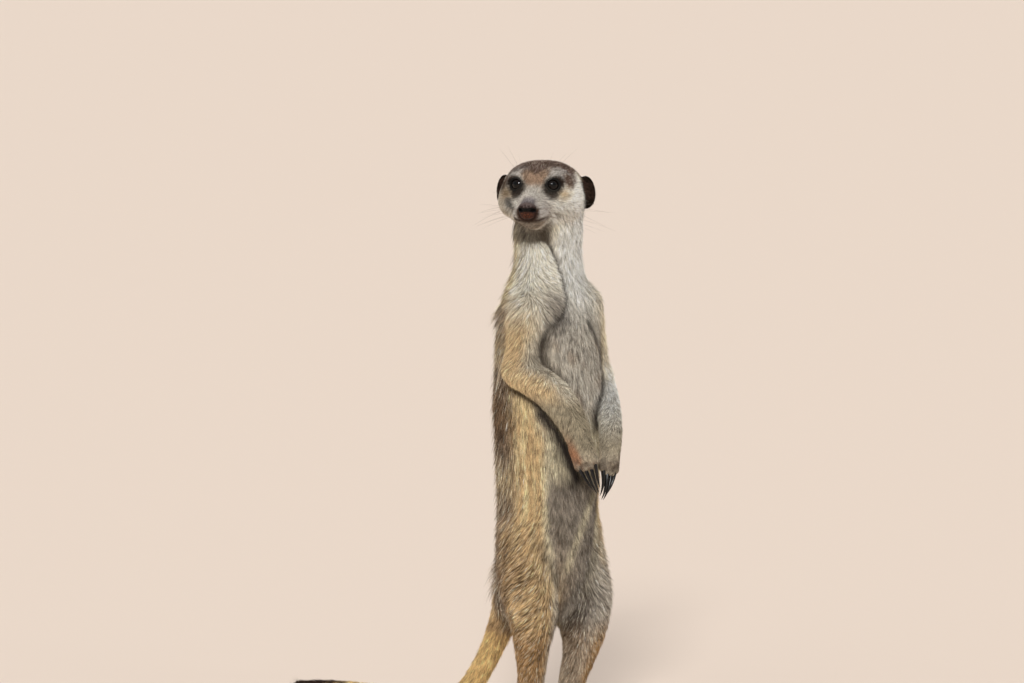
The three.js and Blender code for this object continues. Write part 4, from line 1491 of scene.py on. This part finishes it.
def make_nose():
    step = 0.28
    axes = [spaced((-6.6, 6.6, step)), spaced((-46.6, -36.6, step)), spaced((-10.4, 1.4, step))]
    points, quads = surface(Levels(nose_field, axes))
    points = settle(nose_field, points, 0.1)
    nose = add_mesh("nose_pad", from_head(points), quads)
    grain = noise(points, 1.3, 71) + noise(points, 0.6, 72)
    x, z = np.abs(points[:, 0]), points[:, 2]
    low = ramp(z, -4.6, -5.6) * ramp(z, -9.4, -8) * ramp(x + 0.4 * grain, 4.8, 3)
    colours = mix(NOSE_HUES["edge"], NOSE_HUES["pad"], low * (0.75 + 0.25 * grain))
    # Painted highlights: orange-brown glints on the pebbles, most on the lower part
    colours = mix(colours, NOSE_HUES["speck"], 0.55 * ramp(grain, 0.6, 1.8) * (0.25 + 0.75 * low))
    colours = mix(colours, NOSE_HUES["top"], ramp(z + 0.6 * grain, -2.8, -0.6))
    # Painted shade: the nostrils and a band between them near black
    shadow = 3 * np.abs(z + 3.8) + x - 3.4 + 0.9 * blob(x, 0.5)  # a dark band from nostril to nostril
    opening = np.minimum(cone(both_sides(points, 0.3), *NOSTRIL), shadow)
    colours = mix(colours, NOSE_HUES["nostril"], ramp(opening, 0.9, 0.1))
    set_colour(nose.data, "pad", colours)
    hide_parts("nose")
    return nose


# What all claws share: their sides and steps, and how deep the root is set
CLAW_SIDES, CLAW_STEPS, CLAW_BURIED = 14, 18, 2


def claw_points(root, forward, under, size):
    """Rings of a curved claw, deeper than wide, from its root to its point."""
    side = unit(np.cross(forward, under))
    t = np.linspace(0, 1, CLAW_STEPS + 1)
    bend = np.radians(size["curl"]) * t
    heading = forward * np.cos(bend)[:, None] + under * np.sin(bend)[:, None]
    step = (size["length"] + CLAW_BURIED) / CLAW_STEPS
    centre = root - forward * CLAW_BURIED + np.concatenate([[row(0, 0, 0)], np.cumsum(heading[1:] * step, 0)])
    up = np.cross(side, heading)
    r = size["radius"] * (1 - t ** 1.6) ** 0.85 + 0.06
    turn = once_round(CLAW_SIDES)
    ring = (np.cos(turn)[None, :, None] * side * 0.82
            + np.sin(turn)[None, :, None] * up[:, None] * 1.15)
    return centre[:, None] + r[:, None, None] * ring


def end_cap(start):
    """The quads that close a claw's ring, fanned from its first point."""
    a = start + np.arange(1, CLAW_SIDES - 2, 2)
    return np.stack([np.full(len(a), start), a, a + 1, np.minimum(a + 2, start + CLAW_SIDES - 1)], 1)


def make_claws(name, claws, nodes):
    """The claws of one hand or foot, each closed at its point."""
    points, faces = [], []
    for root, forward, under, size in claws:
        rings = claw_points(root, forward, under, size)
        first = sum(len(made) for made in points)
        last = first + (len(rings) - 1) * CLAW_SIDES
        points.append(rings.reshape(-1, 3))
        faces.append(strip(len(rings), CLAW_SIDES) + first)
        faces.append(end_cap(first)[:, ::-1])
        faces.append(end_cap(last))
    piece = add_mesh(name, np.concatenate(points), np.concatenate(faces))
    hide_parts(*nodes)
    return piece


def make_hand_claws(side):
    _, down, across, back = hand_frame(side)
    claws = []
    for _, tip, out in finger_ends(side):
        heading = unit(down + back * HAND_CLAW["lift"] - across * out * HAND_CLAW["draw"])
        claws.append((tip, heading, -back, HAND_CLAW))
    return make_claws("hand_claws_" + side, claws, [f"hand_claw_{side}_{i}" for i in (1, 2, 3, 4)])


def make_foot_claws(side):
    _, forward, _ = foot_frame(side)
    claws = []
    for _, tip in toe_ends(side):
        root = tip + forward * (TOES["radius"] - 1.5)
        root[2] = FOOT_CLAW["height"]
        claws.append((root, forward, row(0, 0, -1), FOOT_CLAW))
    return make_claws("foot_claws_" + side, claws, [f"foot_claw_{side}_{i}" for i in (1, 2, 3, 4)])


# Whiskers: root in the head's frame on its left side, the way it sets out, and its length.
# Those of the right side are cut shorter, as more of them would reach past the solids there.
RIGHT_WHISKERS_MOST = 22
WHISKER_RADIUS = 0.05
WHISKERS = [
    ((5.5, -38, -5.2), (0.8, -0.3, 0.05), 17), ((6.6, -36.5, -4.2), (0.9, -0.1, 0.25), 26),
    ((7.4, -34.5, -4.6), (1, 0.1, 0.15), 34), ((7.8, -32.5, -5.4), (1, 0.25, 0.0), 38),
    ((7.9, -30.5, -6.2), (1, 0.35, -0.1), 36), ((6.8, -36, -6.8), (1, -0.05, -0.2), 24),
    ((7.8, -34, -7.6), (1, 0.1, -0.25), 31), ((8.2, -31.5, -8), (1, 0.3, -0.3), 30),
    ((7.6, -33.5, -2.8), (0.9, 0.2, 0.45), 27), ((7, -19.5, 14.2), (0.45, 0.1, 1), 20),
    ((9.5, -18, 14.2), (0.65, 0.25, 0.9), 22), ((5.2, -20, 13.4), (0.25, -0.05, 1), 15),
    ((17.5, -15, -6.5), (1, 0.25, -0.35), 24), ((17.8, -13.5, -5), (1, 0.35, -0.15), 20),
]


def make_whiskers(levels, rng):
    """Fine hairs that start at the skin and droop back as they taper."""
    points, faces = [], []
    steps, sides = 12, 4
    t = np.linspace(0, 1, steps + 1)
    turn = once_round(sides)
    for outward in SIDES.values():
        mirror = row(outward, 1, 1)
        for root, way, length in WHISKERS:
            start = from_head((row(*root) * mirror)[None])
            for _ in range(4):
                start = start - gradient(levels, start, 0.5) * (levels(start) + 0.4)[:, None]
            length = length * rng.uniform(0.85, 1.05)
            if outward == SIDES["right"]:
                length = min(length, RIGHT_WHISKERS_MOST)
            way = unit(HEAD_TURN @ (row(*way) * mirror) + 0.08 * rng.normal(size=3))
            droop = (HEAD_TURN @ row(0, 0.35, 0) + row(0, 0, -0.25)) * rng.uniform(0.6, 1.2)
            line = start + way * (t * length)[:, None] + droop * (t**2 * length * 0.6)[:, None]
            first = unit(np.cross(way, row(0.1, 0.2, 1)))
            second = np.cross(way, first)
            ring = np.cos(turn)[:, None] * first + np.sin(turn)[:, None] * second
            radius = WHISKER_RADIUS * (1 - t) ** 0.7 + 0.01
            faces.append(strip(steps + 1, sides) + sum(len(made) for made in points))
            points.append((line[:, None] + radius[:, None, None] * ring).reshape(-1, 3))
    return add_mesh("whiskers", np.concatenate(points), np.concatenate(faces))


# ---------------------------------------------------------------- materials
def add_node(tree, kind, inputs=(), **settings):
    """Adds a node, sets it up, and fills its inputs with values or with other nodes' outputs."""
    node = tree.nodes.new(kind)
    for name, value in settings.items():
        setattr(node, name, value)
    for name, value in dict(inputs).items():
        if isinstance(value, bpy.types.NodeSocket):
            tree.links.new(value, node.inputs[name])
        else:
            node.inputs[name].default_value = value
    return node


def in_millimetres(tree, size, kind="ShaderNodeTexNoise", **inputs):
    """A pattern whose marks are about that many millimetres across."""
    where = add_node(tree, "ShaderNodeTexCoord")
    return add_node(tree, kind, {"Vector": where.outputs["Object"], "Scale": 1000 / size, **inputs})


def make_material(name, roughness, colour=None, attribute=None, grain=1, depth=0, **more):
    """A material with a colour, or one held at its vertices. Its grain, in millimetres across, gives it a
    bump of the depth given, or with no depth a shine that varies."""
    material = bpy.data.materials.new(name)
    material.use_nodes = True
    tree = material.node_tree
    shader = tree.nodes["Principled BSDF"]
    shader.inputs["Roughness"].default_value = roughness
    for key, value in more.items():
        shader.inputs[key.replace("_", " ")].default_value = value
    if attribute:
        held = add_node(tree, "ShaderNodeAttribute", attribute_name=attribute)
        tree.links.new(held.outputs["Color"], shader.inputs["Base Color"])
    else:
        shader.inputs["Base Color"].default_value = (*linear(colour), 1)
    pattern = in_millimetres(tree, grain, Detail=3).outputs["Fac"]
    if depth:
        bump = add_node(tree, "ShaderNodeBump", {
            "Height": pattern, "Strength": 0.6, "Distance": depth / 1000})
        tree.links.new(bump.outputs["Normal"], shader.inputs["Normal"])
    else:
        spread = add_node(tree, "ShaderNodeMapRange", {
            "Value": pattern, "From Min": 0.3, "From Max": 0.7,
            "To Min": roughness - 0.06, "To Max": roughness + 0.06})
        tree.links.new(spread.outputs["Result"], shader.inputs["Roughness"])
    return material


def paint(material, *pieces):
    for piece in pieces:
        piece.data.materials.append(material)


# ---------------------------------------------------------------- camera, lights and floor
# Degrees round from the animal's front and up, and millimetres: how far off the camera is, how wide the
# view is at its aim, and that aim in the animal's own frame
CAMERA = {"azimuth": -40, "elevation": 6, "distance": 6000, "view_width": 553.5, "aim": (-25.4, 0, 212.3)}


def direction(azimuth, elevation):
    """The way out to a place seen by degrees round from the animal's front, and up."""
    a, e = math.radians(azimuth), math.radians(elevation)
    return row(math.sin(a) * math.cos(e), -math.cos(a) * math.cos(e), math.sin(e))


def look_from(piece, place, aim):
    """Sets a camera or lamp at a place in the animal's own frame, turned to its aim."""
    piece.location = to_frame(place)
    piece.rotation_euler = Vector(aim - place).to_track_quat("-Z", "Y").to_euler()


def make_camera():
    lens = bpy.data.cameras.new("camera")
    lens.sensor_width = 36
    lens.lens = lens.sensor_width * CAMERA["distance"] / CAMERA["view_width"]
    lens.clip_end = 100
    camera = bpy.data.objects.new("camera", lens)
    bpy.context.scene.collection.objects.link(camera)
    aim = row(*CAMERA["aim"])
    look_from(camera, aim + direction(CAMERA["azimuth"], CAMERA["elevation"]) * CAMERA["distance"], aim)
    bpy.context.scene.camera = camera


# Distant lights: azimuth, elevation, strength, how many degrees across, and colour. The key shines from
# above the camera. The fills are wide, and leave no shine of their own on the eyes.
LIGHTS = {
    "key": (-44, 29, 2.0, 11, "#ffffff"),
    "fill_right": (-105, 30, 0.95, 90, "#ffffff"),
    "fill_left": (50, 27, 1.1, 90, "#f6f8ff"),
}
SKY = ("#f2f3f6", 0.5)
FLOOR_METRES = 60


def make_light(name, azimuth, elevation, strength, softness, colour):
    lamp = bpy.data.lights.new(name, "SUN")
    lamp.energy = strength
    lamp.angle = math.radians(softness)
    lamp.color = linear(colour)
    piece = bpy.data.objects.new(name, lamp)
    bpy.context.scene.collection.objects.link(piece)
    piece.visible_glossy = name == "key"
    aim = row(0, 0, 150)
    look_from(piece, aim + direction(azimuth, elevation) * 2000, aim)


def make_studio():
    for name, light in LIGHTS.items():
        make_light(name, *light)
    world = bpy.data.worlds.new("studio")
    world.use_nodes = True
    background = world.node_tree.nodes["Background"]
    background.inputs["Color"].default_value = (*linear(SKY[0]), 1)
    background.inputs["Strength"].default_value = SKY[1]
    bpy.context.scene.world = world
    bpy.context.scene.view_settings.view_transform = "Standard"
    bpy.ops.mesh.primitive_plane_add(size=FLOOR_METRES, location=(0, 0, 0))
    floor = bpy.context.object
    floor.name = "floor"
    # Painted board: quite matt, warm and pale, so that nothing shows on it but the shadow.
    paint(make_material("studio_floor", 0.9, "#e6d3c1"), floor)


# ---------------------------------------------------------------- the model
make_camera()
make_studio()
skin, levels = make_skin()
coats = make_coat(skin, levels)
kept = ("claw", "eye", "nose")
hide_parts(*[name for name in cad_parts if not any(word in name for word in kept)])
eyes = [make_eye(side) for side in SHAFTS]
nose = make_nose()
claws = [make_hand_claws(side) for side in SHAFTS] + [make_foot_claws(side) for side in SHAFTS]
whiskers = make_whiskers(levels, np.random.default_rng(SEED + 1))

# Hide seen between the hairs: dull and creased, in a darker tone of the hair over it.
paint(make_material("skin_under_coat", 0.7, attribute="skin", grain=0.5, depth=0.1,
                    Specular_IOR_Level=0.1), skin)
# Dry guard hair: each one smooth, but so fine that the coat as a whole has only a soft sheen, a little
# brighter in some locks than in others.
paint(make_material("meerkat_hair", 0.62, attribute="coat", grain=4, Specular_IOR_Level=0.05), *coats)
# A wet eye: a clear film of tears gives one small, sharp highlight over a near black iris.
paint(make_material("eye_wet", 0.03, attribute="eye", grain=2, Specular_IOR_Level=0.25), *eyes)
# Bare nose leather: pebbled skin, moist enough for a blurred shine on its bumps. The pebbles are drawn
# about twice as coarse as real ones, so that they show.
paint(make_material("nose_leather", 0.5, attribute="pad", grain=0.55, depth=0.3,
                    Specular_IOR_Level=0.15), nose)
# Claw horn worn smooth by digging: near black, with a long narrow highlight broken by fine scratches.
paint(make_material("claw_horn", 0.28, "#0f0c0b", grain=1.2, depth=0.05, Specular_IOR_Level=0.35), *claws)
# Whiskers: stiff, smooth hair, paler than the coat's dark hairs and glossier than any of it.
paint(make_material("whisker_hair", 0.4, "#8a7a6c"), whiskers)

for piece in [skin, nose, whiskers, *coats, *eyes, *claws]:
    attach(piece, "root")
